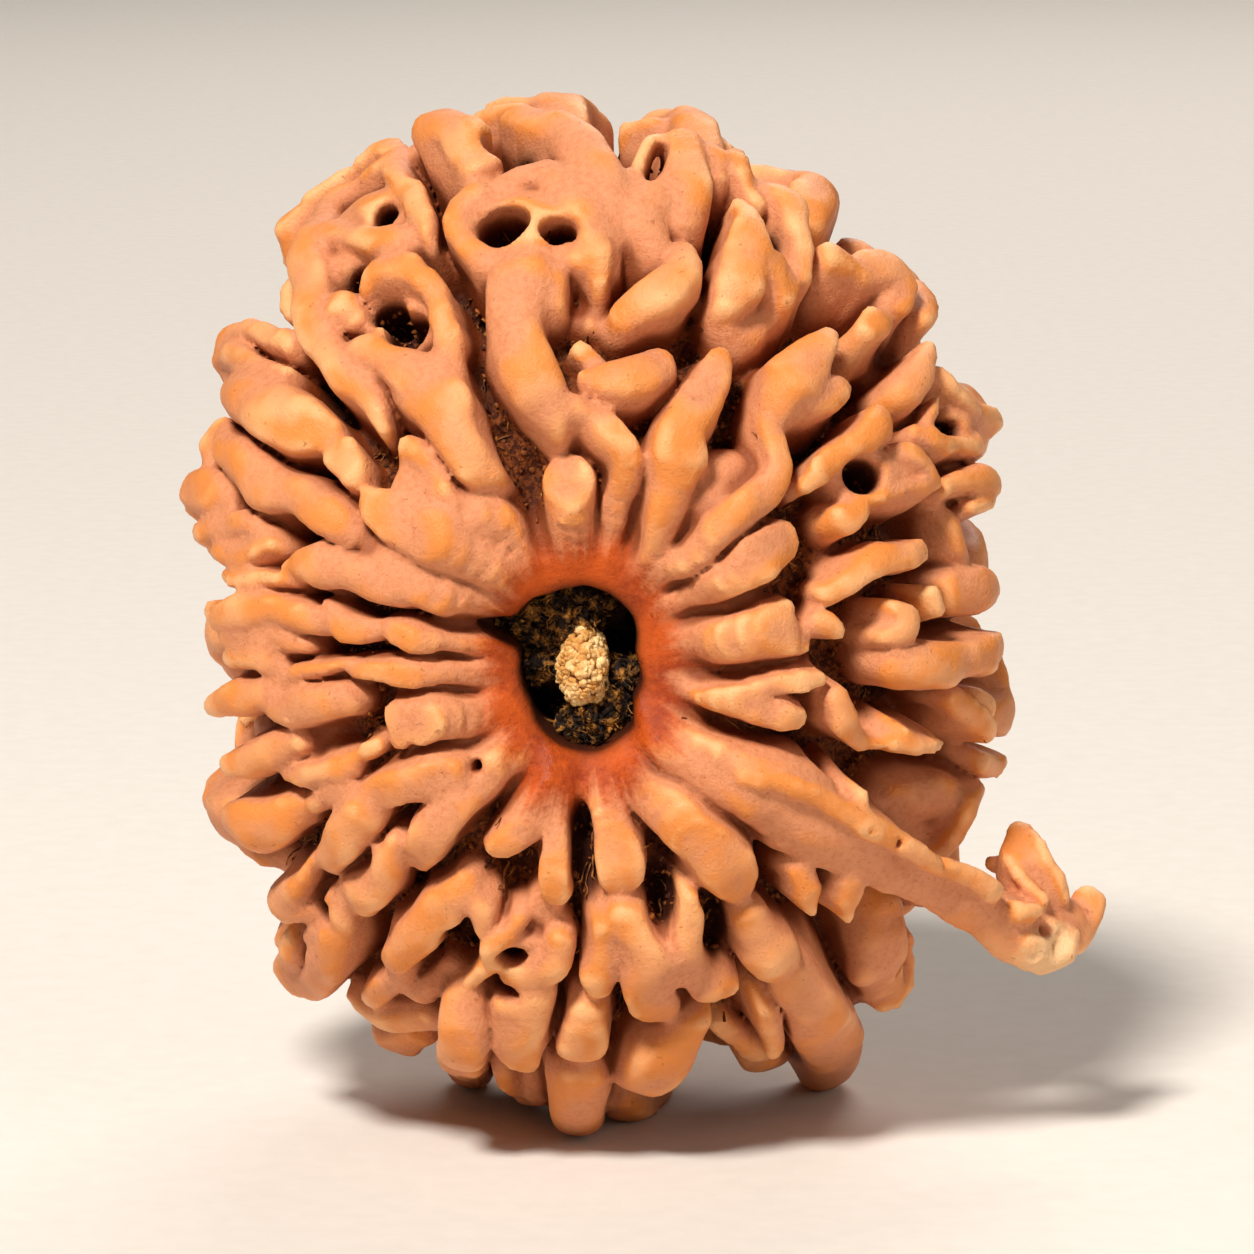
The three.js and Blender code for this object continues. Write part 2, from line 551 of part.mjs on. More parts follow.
function makeStone() {
  const core = solidFromGeometry(turnedAboutCanal(coreProfile, coreSides, coreHeightRatio));
  const canalOutline = [[0, canalProfile[0][1]], ...canalProfile, [0, canalProfile.at(-1)[1]]];
  const canal = solidFromGeometry(turnedAboutCanal(canalOutline, canalSides, canalHeightRatio));
  const ridges = [...tracedRidges.flatMap(tracedSolids), ...backSolids()];
  const ground = new THREE.BoxGeometry(80, 80, 20);
  ground.translate(0, 0, -10);
  const grown = wasm.Manifold.union([core, ...ridges]).subtract(canal).subtract(solidFromGeometry(ground));
  return largestBody(solidFromGeometry(geometryFromSolid(largestBody(grown).simplify(crestTolerance))));
}

// Straight between the points of a profile of [size, y]
function sizeAt(profile, y) {
  const next = Math.max(1, profile.findIndex((point) => point[1] >= y));
  const [first, last] = [profile[next - 1], profile[next]];
  return THREE.MathUtils.mapLinear(y, first[1], last[1], first[0], last[0]);
}

// A turned shape about the canal's axis whose radius and y are functions of the angle and the step
function ringedGeometry(rows, sides, place, closed) {
  const positions = [];
  const triangles = [];
  const ends = closed ? 0 : 1;
  for (let i = 0; i < rows; i += 1) {
    for (let j = 0; j < sides; j += 1) {
      const { x, y, z } = place(i, (2 * Math.PI * j) / sides);
      positions.push(canalX + x, y, canalZ + z);
    }
  }
  for (let i = 0; i < rows - ends; i += 1) {
    for (let j = 0; j < sides; j += 1) {
      const here = i * sides;
      const there = ((i + 1) % rows) * sides;
      const next = (j + 1) % sides;
      triangles.push(here + j, there + next, here + next);
      triangles.push(here + j, there + j, there + next);
    }
  }
  if (!closed) {
    for (let j = 1; j < sides - 1; j += 1) {
      const far = (rows - 1) * sides;
      triangles.push(0, j, j + 1);
      triangles.push(far, far + j + 1, far + j);
    }
  }
  const geometry = new THREE.BufferGeometry();
  geometry.setAttribute('position', new THREE.BufferAttribute(new Float32Array(positions), 3));
  geometry.setIndex(triangles);
  geometry.computeVertexNormals();
  return geometry;
}

// The pith is rounded and grainy, with small swellings that a formula raises
function makePith() {
  return ringedGeometry(pithProfile.length, pithSides, (i, angle) => {
    const [half, y] = pithProfile[i];
    const grain = pithGrain * (Math.sin(3 * angle + 2.1 * i) + Math.cos(5 * angle - i));
    const radius = half * (1 + grain);
    return { x: radius * Math.cos(angle), y, z: radius * pithHeightRatio * Math.sin(angle) };
  }, false);
}

// The pulp ring: out along the canal wall and back round the pith, with a lumpy front
function makePulp() {
  const rows = 2 * pulpSteps;
  return ringedGeometry(rows, pulpSides, (i, angle) => {
    const outer = i < pulpSteps;
    const step = (outer ? i : rows - 1 - i) / (pulpSteps - 1);
    const lumps = Math.sin(3 * angle + 1) + Math.sin(5 * angle) + Math.cos(2 * angle);
    const y = THREE.MathUtils.lerp(pulpFront + pulpLumps * lumps, pulpBack, step);
    const wall = sizeAt(canalProfile, y) - clearance;
    const strand = sizeAt(pithProfile, y) * (1 + 2 * pithGrain) + clearance;
    const across = outer ? wall : strand;
    const tall = outer ? wall * canalHeightRatio : strand * pithHeightRatio;
    return { x: across * Math.cos(angle), y, z: tall * Math.sin(angle) };
  }, true);
}

const pithMaterial = new THREE.MeshStandardMaterial({ color: '#ecc98c', roughness: 0.9, metalness: 0 });
const pulpMaterial = new THREE.MeshStandardMaterial({ color: '#4a2a14', roughness: 0.9, metalness: 0 });
const stoneMaterial = new THREE.MeshStandardMaterial({ color: '#d4925f', roughness: 0.55, metalness: 0 });

function namedMesh(name, geometry, material) {
  const mesh = new THREE.Mesh(geometry, material);
  mesh.name = name;
  return mesh;
}

const bead = new THREE.Group();
bead.add(namedMesh('bead_stone', geometryFromSolid(makeStone()), stoneMaterial));
bead.add(namedMesh('pith_strand', makePith(), pithMaterial));
bead.add(namedMesh('dried_pulp', makePulp(), pulpMaterial));

export default bead;
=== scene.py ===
import math

import bpy
import numpy as np
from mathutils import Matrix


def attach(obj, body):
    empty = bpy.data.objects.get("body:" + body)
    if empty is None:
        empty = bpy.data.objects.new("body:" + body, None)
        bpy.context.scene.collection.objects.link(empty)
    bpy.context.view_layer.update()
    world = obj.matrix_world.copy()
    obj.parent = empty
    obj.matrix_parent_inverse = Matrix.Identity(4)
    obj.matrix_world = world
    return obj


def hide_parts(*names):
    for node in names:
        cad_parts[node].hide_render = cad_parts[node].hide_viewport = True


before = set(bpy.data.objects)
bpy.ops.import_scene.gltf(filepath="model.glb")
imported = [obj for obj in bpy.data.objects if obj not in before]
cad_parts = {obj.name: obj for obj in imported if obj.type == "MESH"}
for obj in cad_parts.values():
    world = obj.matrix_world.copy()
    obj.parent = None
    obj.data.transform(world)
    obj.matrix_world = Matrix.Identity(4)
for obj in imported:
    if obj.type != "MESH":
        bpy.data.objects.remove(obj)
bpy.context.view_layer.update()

import openvdb
from mathutils import Vector

# Lobes and holes are worked out in millimetres and become metres when their mesh is made.
metre = 0.001

# The lobes are traced in the pixels of a square front view, and the camera looks from its place.
sight = {
    "pixels": 1254,
    "millimetresPerPixel": 0.0347,
    "distance": 218.0,
    "elevation": math.radians(10),
    "aim": (-0.7, 0.0, 17.2),
    "sensorWidth": 36.0,
}
forward = np.array((0, math.cos(sight["elevation"]), -math.sin(sight["elevation"])))
across = np.array((1.0, 0.0, 0.0))
upward = np.array((0, math.sin(sight["elevation"]), math.cos(sight["elevation"])))
eye = np.array(sight["aim"]) - forward * sight["distance"]
pixelSize = sight["millimetresPerPixel"]


def makeCamera():
    data = bpy.data.cameras.new("Camera")
    data.sensor_width = sight["sensorWidth"]
    data.lens = sight["sensorWidth"] * sight["distance"] / (sight["pixels"] * pixelSize)
    data.clip_start = 0.01
    data.clip_end = 20
    camera = bpy.data.objects.new("Camera", data)
    bpy.context.collection.objects.link(camera)
    camera.location = Vector(eye * metre)
    camera.rotation_euler = (math.pi / 2 - sight["elevation"], 0, 0)
    bpy.context.scene.camera = camera
    bpy.context.scene.view_settings.view_transform = "Standard"


makeCamera()
print("camera made")


# Nodes: one method adds any node, and sums on its wires add Math nodes.
class Wire:
    def __init__(self, sheet, socket):
        self.sheet = sheet
        self.socket = socket

    def __add__(self, other):
        return self.sheet.maths("ADD", self, other)

    def __sub__(self, other):
        return self.sheet.maths("SUBTRACT", self, other)

    def __rsub__(self, other):
        return self.sheet.maths("SUBTRACT", other, self)

    def __mul__(self, other):
        return self.sheet.maths("MULTIPLY", self, other)

    __radd__ = __add__
    __rmul__ = __mul__


class Sheet:
    def __init__(self, tree):
        self.tree = tree

    def node(self, kind, settings=None, sockets=None, out=0):
        made = self.tree.nodes.new(kind)
        for name, value in (settings or {}).items():
            setattr(made, name, value)
        for name, value in (sockets or {}).items():
            if isinstance(value, Wire):
                self.tree.links.new(value.socket, made.inputs[name])
            else:
                made.inputs[name].default_value = value
        return Wire(self, made.outputs[out])

    def maths(self, operation, first, second):
        return self.node("ShaderNodeMath", {"operation": operation}, {0: first, 1: second})

    def vectorMaths(self, operation, first, second=(0, 0, 0), out=0):
        return self.node("ShaderNodeVectorMath", {"operation": operation}, {0: first, 1: second}, out)

    def scaled(self, vector, size):
        return self.node(
            "ShaderNodeVectorMath", {"operation": "SCALE"}, {0: vector, "Scale": size})

    def ease(self, value, low, high, start=0.0, end=1.0):
        return self.node(
            "ShaderNodeMapRange", {"interpolation_type": "SMOOTHSTEP"},
            {"Value": value, "From Min": low, "From Max": high, "To Min": start, "To Max": end})

    def mixed(self, share, first, second):
        return self.node(
            "ShaderNodeMix", {"data_type": "RGBA"}, {0: share, 6: first, 7: second}, 2)

    def attribute(self, name):
        return self.node("ShaderNodeAttribute", {"attribute_name": name}, out="Fac")

    def noise(self, vector, size, detail=2.0, roughness=0.5):
        return self.node(
            "ShaderNodeTexNoise", {},
            {"Vector": vector, "Scale": size, "Detail": detail, "Roughness": roughness})


def colour(code):
    parts = [int(code[k:k + 2], 16) / 255 for k in (1, 3, 5)]
    return (*[p / 12.92 if p <= 0.04045 else ((p + 0.055) / 1.055) ** 2.4 for p in parts], 1.0)


# The woody stone. Lengths are in millimetres.
stone = {
    "voxel": 0.16,
    "low": (-16.8, -13.2, -0.8),
    "high": (16.9, 13.2, 36.6),
    "envelopeCentre": (-1.7, 0.0, 17.6),
    "envelopeHalf": (14.6, 13.0, 18.0),
    "rootHalf": (9.2, 8.4, 11.8),
    "rootShare": 0.97,
    "canalX": -2.15,
    "canalZ": 17.67,
    "coreHeightRatio": 1.27,
    "canalHeightRatio": 1.33,
    "canalLow": (-7.5, -13.2, 10),
    "canalHigh": (3.5, 13.2, 25),
    "canalBlend": 0.3,
    "rimShapeFrom": -9.8,
    "rimShapeTo": -7.2,
    "mouthPixel": (583, 668),
    "dishDepth": 2.1,
    "dishInner": 2.2,
    "dishOuter": 6.6,
    "innerWithin": 4.5,
    "outerBeyond": 8.5,
    "innerShareOfBack": 0.25,
    "crestRiseInner": 0.38,
    "crestRiseOuter": 0.74,
    "crestPowerInner": 4.5,
    "crestPowerOuter": 2.3,
    "stretch": 0.6,
    "tipDrop": 0.4,
    "tipReach": 1.6,
    "wallSlopeInner": 0.24,
    "wallSlopeOuter": 0.1,
    "groovePacking": 0.75,
    "coreFrom": 4.2,
    "coreTo": 6.5,
    "hornDepth": 0.5,
    "footHeight": 0.4,
    "lobeBlend": 0.2,
    "lobeMargin": 0.8,
    "coreBlend": 0.7,
    "trianglesKept": 196000,
}

# Random swells in the surface: [height, size, seed]. A shift moves the lobes in x, y and z.
# The floor of the grooves is packed with crumbs within a distance of the core, a radius of the
# canal and a height of its webs. The finish reads how hollow each place is within three reaches.
surface = {
    "shifts": [[(0.26, 2.2, 10 + k), (0.12, 1.0, 20 + k)] for k in range(3)],
    "shiftsFrom": 0.6,
    "shiftsTo": 3.0,
    "relief": [(0.08, 2.6, 1), (0.045, 1.1, 2), (0.02, 0.5, 5)],
    "crumbs": [(0.22, 0.75, 3), (0.12, 0.45, 4)],
    "raggedEnd": [(0.25, 0.55, 6)],
    "raggedWithin": 0.9,
    "smoothBeyond": 1.6,
    "packedCore": (0.9, 0.3),
    "packedRadius": (3.6, 5.6),
    "packedWeb": (0.6, 0.2),
    "reaches": {"edgeHollow": 0.3, "nearHollow": 0.6, "wideHollow": 1.8},
}

# The floor of the grooves and the canal are turned about the canal's axis: [radius, y].
coreProfile = [
    (0, -10.4), (2.1, -10.5), (3.1, -10.6), (4.4, -9.9), (6.3, -8.8), (8.3, -6.8), (9.8, -3.9),
    (10.4, 0), (9.8, 3.9), (8.3, 6.8), (6, 8.8), (3, 9.8), (0, 10),
]
canalProfile = [
    (0, -14), (2.5, -14), (2.5, -11.2), (2.1, -10.4), (2.05, -8.4), (1.9, -6), (1.2, -3), (1.15, 6),
    (1.3, 9), (1.9, 11), (1.9, 14), (0, 14),
]

# The rim of the mouth isn't round: it runs through these pixels, with a notch on the left.
mouthRim = [
    (477, 622), (515, 617), (530, 599), (549, 593), (571, 589), (586, 587), (600, 593), (615, 601),
    (632, 618), (636, 635), (634, 655), (641, 682), (632, 700), (632, 727), (614, 742), (600, 751),
    (576, 752), (559, 747), (547, 737), (537, 725), (530, 703), (523, 688), (520, 671), (521, 659),
    (517, 650), (500, 642), (488, 635),
]


def lobe(*path, reach=0.0, back=0.0, horn=False, foot=None):
    return {"path": path, "reach": reach, "back": back, "horn": horn, "foot": foot}


# A lobe runs through pixels [across, down, half width] of the front view. reach lifts its crest
# above the envelope, back sets it back along the line of sight, both in millimetres. A point with
# a fourth number lies at that y instead. A horn stands free of the core. A foot goes on to
# [x, y, half width] on the floor.
crown = {
    "knob": lobe((438, 122, 22), (456, 138, 26), (476, 158, 22), reach=0.6),
    "arch": lobe(
        (480, 112, 12), (520, 116, 14), (553, 128, 16), (578, 160, 14), (598, 195, 14),
        (612, 230, 12), (612, 262, 12), reach=-0.3),
    "arch behind": lobe(
        (492, 106, 9), (530, 108, 8), (560, 120, 10), (585, 150, 10), (605, 180, 9), back=2.5),
    "eyed lobe left": lobe((500, 188, 16), (468, 210, 18), (468, 235, 18), (490, 262, 20)),
    "eyed lobe right": lobe(
        (500, 188, 16), (540, 175, 18), (570, 195, 20), (592, 225, 18), (600, 255, 16),
        (600, 275, 10)),
    "between the eyes": lobe((532, 200, 10), (533, 225, 8), (528, 250, 18)),
    "stem": lobe(
        (525, 262, 32), (517, 300, 26), (515, 335, 24), (525, 370, 30), (548, 405, 24),
        (552, 420, 14)),
    "jaw": lobe((548, 262, 14), (550, 300, 10)),
    "finger": lobe((592, 372, 14), (630, 372, 22), (660, 362, 22)),
    "stem branch": lobe((560, 400, 14), (592, 405, 12)),
    "tongue": lobe((566, 472, 27), (568, 505, 24), (573, 540, 16), (577, 568, 7)),
    "tongue wall": lobe(
        (592, 405, 12), (618, 428, 12), (632, 455, 12), (620, 500, 12), (604, 545, 10),
        (590, 575, 6), reach=-0.2),
}

upperLeft = {
    "outer rail": lobe(
        (352, 188, 16), (328, 215, 18), (312, 255, 20), (308, 300, 20), (320, 340, 18),
        (345, 375, 18), (368, 405, 14), (378, 428, 8)),
    "outer rail right": lobe((392, 160, 14), (405, 190, 12), (420, 225, 14), (432, 245, 8)),
    "outer rail top": lobe((355, 185, 14), (380, 172, 12), (395, 160, 12)),
    "outer rail bridge": lobe((325, 232, 16), (362, 236, 14), (402, 248, 16)),
    "ring top": lobe((365, 285, 10), (375, 272, 12), (415, 272, 14), (438, 295, 14)),
    "ring right": lobe((438, 300, 14), (450, 335, 16), (445, 360, 20)),
    "ring bottom": lobe((352, 345, 12), (375, 355, 16), (410, 375, 22), (445, 375, 22)),
    "ring left": lobe((358, 290, 8), (352, 335, 10), reach=-0.6),
    "ring body": lobe((410, 385, 26), (440, 405, 30), (460, 435, 22), (476, 465, 17), (484, 475, 16)),
    "ring tail": lobe((400, 445, 8), (425, 460, 10), (445, 490, 10), (455, 505, 12)),
    "collar lobe": lobe((462, 512, 16), (495, 520, 18), (515, 550, 14), (527, 582, 9)),
    "fan": lobe((368, 497, 14), (398, 512, 24), (435, 535, 28), (480, 562, 24), (515, 592, 12)),
    "fan upper": lobe((410, 462, 12), (420, 490, 22), (440, 515, 22), reach=-0.3),
    "hump behind": lobe((362, 160, 12), (385, 152, 15), (402, 158, 12), back=2),
    "shoulder behind": lobe((305, 205, 14), (290, 225, 14), (290, 250, 12), back=2),
}

left = {
    "fork upper": lobe((222, 338, 16), (250, 332, 12), (285, 340, 10)),
    "fork lower": lobe((222, 352, 16), (250, 365, 12), (280, 375, 10)),
    "long lobe": lobe((228, 388, 14), (255, 400, 26), (285, 420, 30), (320, 432, 18)),
    "wave lobe": lobe(
        (222, 432, 12), (240, 460, 24), (262, 487, 24), (295, 495, 18), (325, 515, 20),
        (350, 530, 14)),
    "ball": lobe((335, 455, 17), (346, 470, 16)),
    "rim lobe 1": lobe((187, 510, 10), (198, 490, 20), (225, 497, 16)),
    "rim lobe 2": lobe((198, 528, 10), (240, 525, 11), (265, 532, 9)),
    "rim lobe 3": lobe((215, 545, 10), (245, 552, 12), (270, 543, 9)),
    "rim lobe 4": lobe((225, 570, 6), (255, 580, 7), (290, 583, 6)),
    "arrow lobe": lobe((288, 567, 9), (320, 567, 22), (355, 573, 21), (395, 590, 14)),
    "wedge": lobe((372, 548, 14), (400, 572, 19), (435, 592, 19), (475, 605, 13), (515, 608, 9)),
    "notched lobe": lobe((322, 604, 9), (342, 625, 16), (365, 628, 14)),
    "notched lobe root": lobe((378, 625, 10), (405, 637, 14), (445, 645, 10), (490, 648, 8)),
    "level lobe": lobe((350, 673, 10), (390, 675, 13), (440, 677, 10), (480, 675, 9)),
    "level lobe rim": lobe((285, 680, 7), (310, 672, 8), (345, 665, 6)),
    "square lobe": lobe((388, 716, 12), (420, 722, 22), (460, 717, 17), (490, 712, 12)),
    "square lobe tip": lobe((393, 725, 12), (398, 745, 11)),
    "rim lobe 5": lobe((212, 612, 9), (245, 612, 16), (290, 618, 15), (325, 622, 12)),
    "rim lobe 6": lobe((225, 635, 8), (255, 640, 8), (290, 648, 6)),
    "rim lobe 7": lobe((227, 660, 8), (255, 657, 10), (275, 668, 12)),
    "rim lobe 8": lobe((212, 705, 10), (240, 702, 18), (275, 690, 12)),
    "rim lobe 9": lobe((268, 713, 10), (300, 708, 18), (340, 705, 20)),
    "rim lobe 10": lobe((228, 770, 11), (258, 760, 16), (290, 745, 14)),
    "rim lobe 11": lobe((280, 777, 7), (310, 778, 12), (345, 770, 13)),
    "rim lobe 13": lobe((232, 822, 18), (262, 825, 25), (292, 818, 18)),
}

lowerLeft = {
    "pick lobe": lobe((360, 795, 9), (400, 787, 18), (445, 775, 20), (485, 765, 14), (510, 760, 8)),
    "pick lobe leg": lobe((415, 865, 12), (432, 835, 19), (455, 805, 18), (490, 775, 10)),
    "claw": lobe((370, 805, 18), (345, 840, 20), (328, 868, 18)),
    "claw knob": lobe((302, 816, 8), (320, 805, 10), (345, 795, 12)),
    "claw low": lobe((395, 845, 12), (385, 880, 16), (365, 905, 19)),
    "ear upper": lobe((275, 912, 13), (290, 890, 14), (312, 868, 10)),
    "ear loop": lobe(
        (292, 948, 12), (292, 975, 16), (308, 985, 17), (325, 965, 20), (335, 935, 20),
        (345, 910, 15)),
    "low shelf": lobe((352, 998, 10), (375, 1012, 14), (405, 1020, 14), (440, 1022, 12), reach=-0.6),
    "bent lobe": lobe((459, 884, 13), (440, 908, 17), (420, 935, 19), (396, 962, 18)),
    "bent lobe prong": lobe((462, 890, 11), (476, 908, 12), (480, 928, 10)),
    "bent lobe tip": lobe((410, 960, 16), (385, 985, 14), (370, 1000, 11), reach=-0.4),
    "bent lobe foot": lobe((400, 990, 12), (425, 985, 18), (450, 972, 15), reach=-0.8),
    "left foot": lobe((468, 1010, 22), (466, 1050, 23), foot=(-6.3, 4, 0.8)),
    "left foot tip": lobe((505, 1075, 12), (515, 1095, 11), back=3),
}

bottom = {
    "leg 1": lobe((498, 848, 14), (520, 825, 16), (545, 790, 16), (560, 765, 10)),
    "leg 2": lobe((562, 775, 10), (553, 820, 14), (552, 860, 15), (550, 895, 14)),
    "leg link": lobe((540, 900, 18), (528, 925, 16), reach=-0.7),
    "loop left": lobe((510, 922, 11), (490, 945, 11), (492, 968, 9)),
    "loop right": lobe((550, 945, 17), (545, 965, 17), (530, 975, 12), (505, 985, 11)),
    "loop stem": lobe((535, 990, 15), (518, 1012, 24), (520, 1040, 25), (530, 1068, 12)),
    "block": lobe((585, 1015, 22), (585, 1050, 25)),
    "front foot": lobe((585, 1085, 30), (577, 1105, 26), foot=(-2.4, -3.4, 0.9)),
    "toe": lobe((640, 1085, 22), (665, 1060, 28), (690, 1030, 20)),
    "leg 3": lobe((600, 780, 13), (610, 830, 22), (620, 875, 24)),
    "long leg": lobe((615, 768, 12), (650, 800, 18), (690, 835, 22), (725, 870, 25), (737, 895, 17)),
    "web left": lobe((605, 940, 20), (597, 970, 18), (600, 985, 13)),
    "web middle": lobe((625, 925, 20), (645, 960, 26), (660, 1008, 24)),
    "web right": lobe((690, 900, 9), (690, 950, 16), (710, 985, 18), (722, 995, 13)),
    "web": lobe((650, 955, 22), (700, 975, 20)),
    "knuckle": lobe((752, 925, 22), (765, 950, 28), (775, 965, 25)),
    "knuckle right": lobe((800, 965, 16), (815, 985, 14), reach=-0.5),
    "right foot": lobe((795, 980, 22), (820, 1012, 29), (832, 1042, 30), foot=(6.4, 3.8, 1.0)),
    "right foot toe": lobe((768, 1015, 14), (778, 1055, 12)),
    "back toe": lobe((720, 1025, 12), (745, 1050, 12), (765, 1058, 10), back=3),
    "thorn 1": lobe((797, 875, 14), (805, 893, 13), (813, 910, 5)),
    "thorn 2": lobe((848, 868, 15), (847, 900, 12), (848, 918, 8), reach=0.5),
    "trunk leg": lobe(
        (884, 925, 28), (876, 952, 33), (879, 984, 22), (886, 1010, 8), reach=-0.4),
}

trunk = {
    "trunk": lobe(
        (655, 745, 14, -11), (745, 795, 30, -11.2), (790, 812, 31, -10.8), (840, 838, 31, -10),
        (890, 864, 30, -9)),
    "trunk end": lobe(
        (870, 857, 29, -9.4), (940, 887, 23, -7.8), (985, 909, 23, -6.6), (1032, 937, 27, -5.4),
        (1060, 939, 23, -5), horn=True),
    "trunk ridge": lobe(
        (745, 775, 12, -12.2), (815, 797, 12, -11.7), (890, 838, 11, -10.4), (950, 871, 10, -8.9),
        (1000, 893, 10, -7.6), horn=True),
    "trunk plug": lobe((1022, 913, 10, -7.0), (1036, 916, 11, -6.6), horn=True),
    "trunk end rim": lobe(
        (1022, 950, 10, -6.1), (1042, 962, 10, -5.6), (1066, 950, 10, -5.2), (1076, 936, 10, -5),
        horn=True),
    "trunk keel": lobe(
        (760, 838, 12, -10.9), (850, 868, 12, -9.9), (930, 904, 9, -7.8), (1000, 932, 9, -6.2),
        horn=True),
    "trunk fold 1": lobe((1012, 852, 5, -4.2), (1022, 878, 6, -5.2), (1045, 903, 7, -5.7), horn=True),
    "trunk fold 2": lobe((1036, 838, 5, -4.0), (1049, 868, 6, -4.8), (1068, 900, 7, -4.9), horn=True),
    "trunk shoulder": lobe((700, 752, 8), (760, 770, 14), (805, 785, 18), (830, 800, 16)),
    "thin ridge": lobe((640, 722, 7), (680, 742, 8), (720, 755, 9)),
    "trunk crest": lobe(
        (1025, 834, 10, -3.6), (1027, 860, 16, -4), (1037, 886, 24, -4.4), (1050, 908, 25, -4.6),
        horn=True),
    "trunk crest spur": lobe((1000, 868, 9, -3.6), (1022, 872, 11, -4), horn=True),
    "trunk nose": lobe((1058, 918, 24, -4.4), (1078, 930, 17, -3.9), (1090, 935, 12, -3.6), horn=True),
    "trunk nose knob": lobe((1095, 925, 13, -3.6), (1101, 912, 15, -3.4), horn=True),
}

right = {
    "bar 1": lobe((690, 645, 10), (730, 638, 18), (770, 630, 22), (805, 637, 16)),
    "bar 1 tip": lobe((770, 615, 12), (793, 607, 11)),
    "bead tip": lobe((828, 622, 13), (842, 634, 8)),
    "bar 2": lobe((700, 700, 8), (740, 697, 12), (780, 684, 10), (820, 681, 9)),
    "bar 2 low": lobe((740, 705, 10), (780, 718, 14), (800, 723, 11)),
    "bean": lobe((838, 702, 15), (845, 725, 14), (865, 740, 9), (883, 744, 5)),
    "spike 1": lobe((895, 742, 10), (925, 740, 8), (948, 740, 4)),
    "rim lobe 14": lobe((960, 700, 12), (975, 720, 14), (985, 738, 10)),
    "rim lobe 16": lobe((985, 762, 10), (998, 767, 9)),
    "hollow wall": lobe((900, 800, 18), (930, 800, 24), (965, 790, 20), reach=-1),
    "hollow wall low": lobe((950, 850, 12), (960, 820, 12), (980, 790, 12)),
    "mitt upper": lobe((940, 655, 8), (975, 650, 14), (1005, 642, 12)),
    "mitt lower": lobe((900, 668, 20), (940, 668, 18), (985, 663, 10), (1000, 655, 8)),
    "hook": lobe((885, 640, 10), (905, 630, 14), (912, 625, 12)),
    "rim lobe 17": lobe((960, 590, 25), (990, 592, 20), back=1),
    "bar 3": lobe((835, 592, 12), (860, 572, 12), (895, 558, 13), (925, 545, 13)),
    "bar 3 wall": lobe((945, 510, 16), (955, 545, 18), (965, 570, 14), reach=-0.8),
    "rim lobe 18": lobe((955, 485, 10), (980, 475, 14), (995, 478, 12)),
    "rim lobe 18 low": lobe((975, 505, 8), (992, 495, 9)),
}

upperRight = {
    "ring 2 top": lobe((805, 482, 10), (835, 462, 12), (862, 440, 14), (878, 420, 14), (885, 432, 10)),
    "ring 2 right": lobe((900, 450, 12), (920, 462, 14), (938, 478, 12)),
    "ring 2 knob": lobe((848, 515, 17), (862, 508, 14)),
    "ring 2 rail": lobe((870, 500, 8), (900, 495, 9), (930, 488, 9)),
    "mitten": lobe((830, 335, 13), (812, 360, 22), (795, 385, 30), (775, 415, 22)),
    "mitten thumb": lobe((795, 400, 25), (825, 398, 18), (845, 387, 11)),
    "serpent": lobe(
        (720, 360, 15), (703, 390, 18), (683, 425, 18), (680, 455, 22), (668, 495, 18),
        (660, 540, 16), (652, 575, 12)),
    "serpent rail": lobe(
        (768, 430, 12), (778, 462, 14), (752, 498, 16), (718, 530, 16), (690, 560, 14),
        (655, 582, 10)),
    "serpent fill": lobe((725, 470, 28), (700, 520, 26), reach=-0.8),
    "serpent link": lobe((765, 405, 14), (770, 440, 14), reach=-0.5),
    "bar 4": lobe((785, 535, 22), (760, 555, 22), (730, 575, 16), (695, 598, 10), (665, 612, 8)),
    "flame": lobe((683, 250, 14), (680, 275, 18), (655, 298, 20), (630, 310, 18)),
    "peak": lobe((741, 200, 8), (744, 225, 14), (745, 255, 22), (738, 285, 22), (730, 303, 15)),
    "peak side": lobe((760, 262, 18), (784, 288, 13)),
    "slit lobe": lobe((685, 140, 18), (685, 175, 22), (680, 210, 24)),
    "slit lobe left": lobe((660, 145, 11), (643, 168, 9), (630, 192, 9)),
    "slit lobe low": lobe((660, 185, 20), (645, 215, 22), (650, 240, 18)),
    "nub 1": lobe((715, 150, 12), (722, 175, 12)),
    "nub 2": lobe((738, 155, 12), (745, 178, 10), (758, 195, 8)),
    "ear": lobe((768, 185, 14), (790, 203, 16), (795, 235, 12), (803, 270, 12)),
    "ear low": lobe((775, 262, 14), (790, 280, 12)),
    "cloud 1": lobe((835, 255, 20), (850, 262, 18)),
    "cloud 2": lobe((870, 270, 22), (895, 275, 22), (900, 300, 20)),
    "cloud 3": lobe((925, 290, 16), (925, 315, 16)),
    "cloud nub": lobe((868, 333, 13), (890, 320, 11)),
    "cloud low": lobe((930, 348, 9), (920, 370, 15), (915, 390, 20)),
    "loop 3 upper": lobe((940, 375, 10), (958, 395, 10), (980, 412, 10), (998, 419, 10)),
    "loop 3 lower": lobe((925, 435, 12), (950, 445, 9), (985, 440, 8)),
}
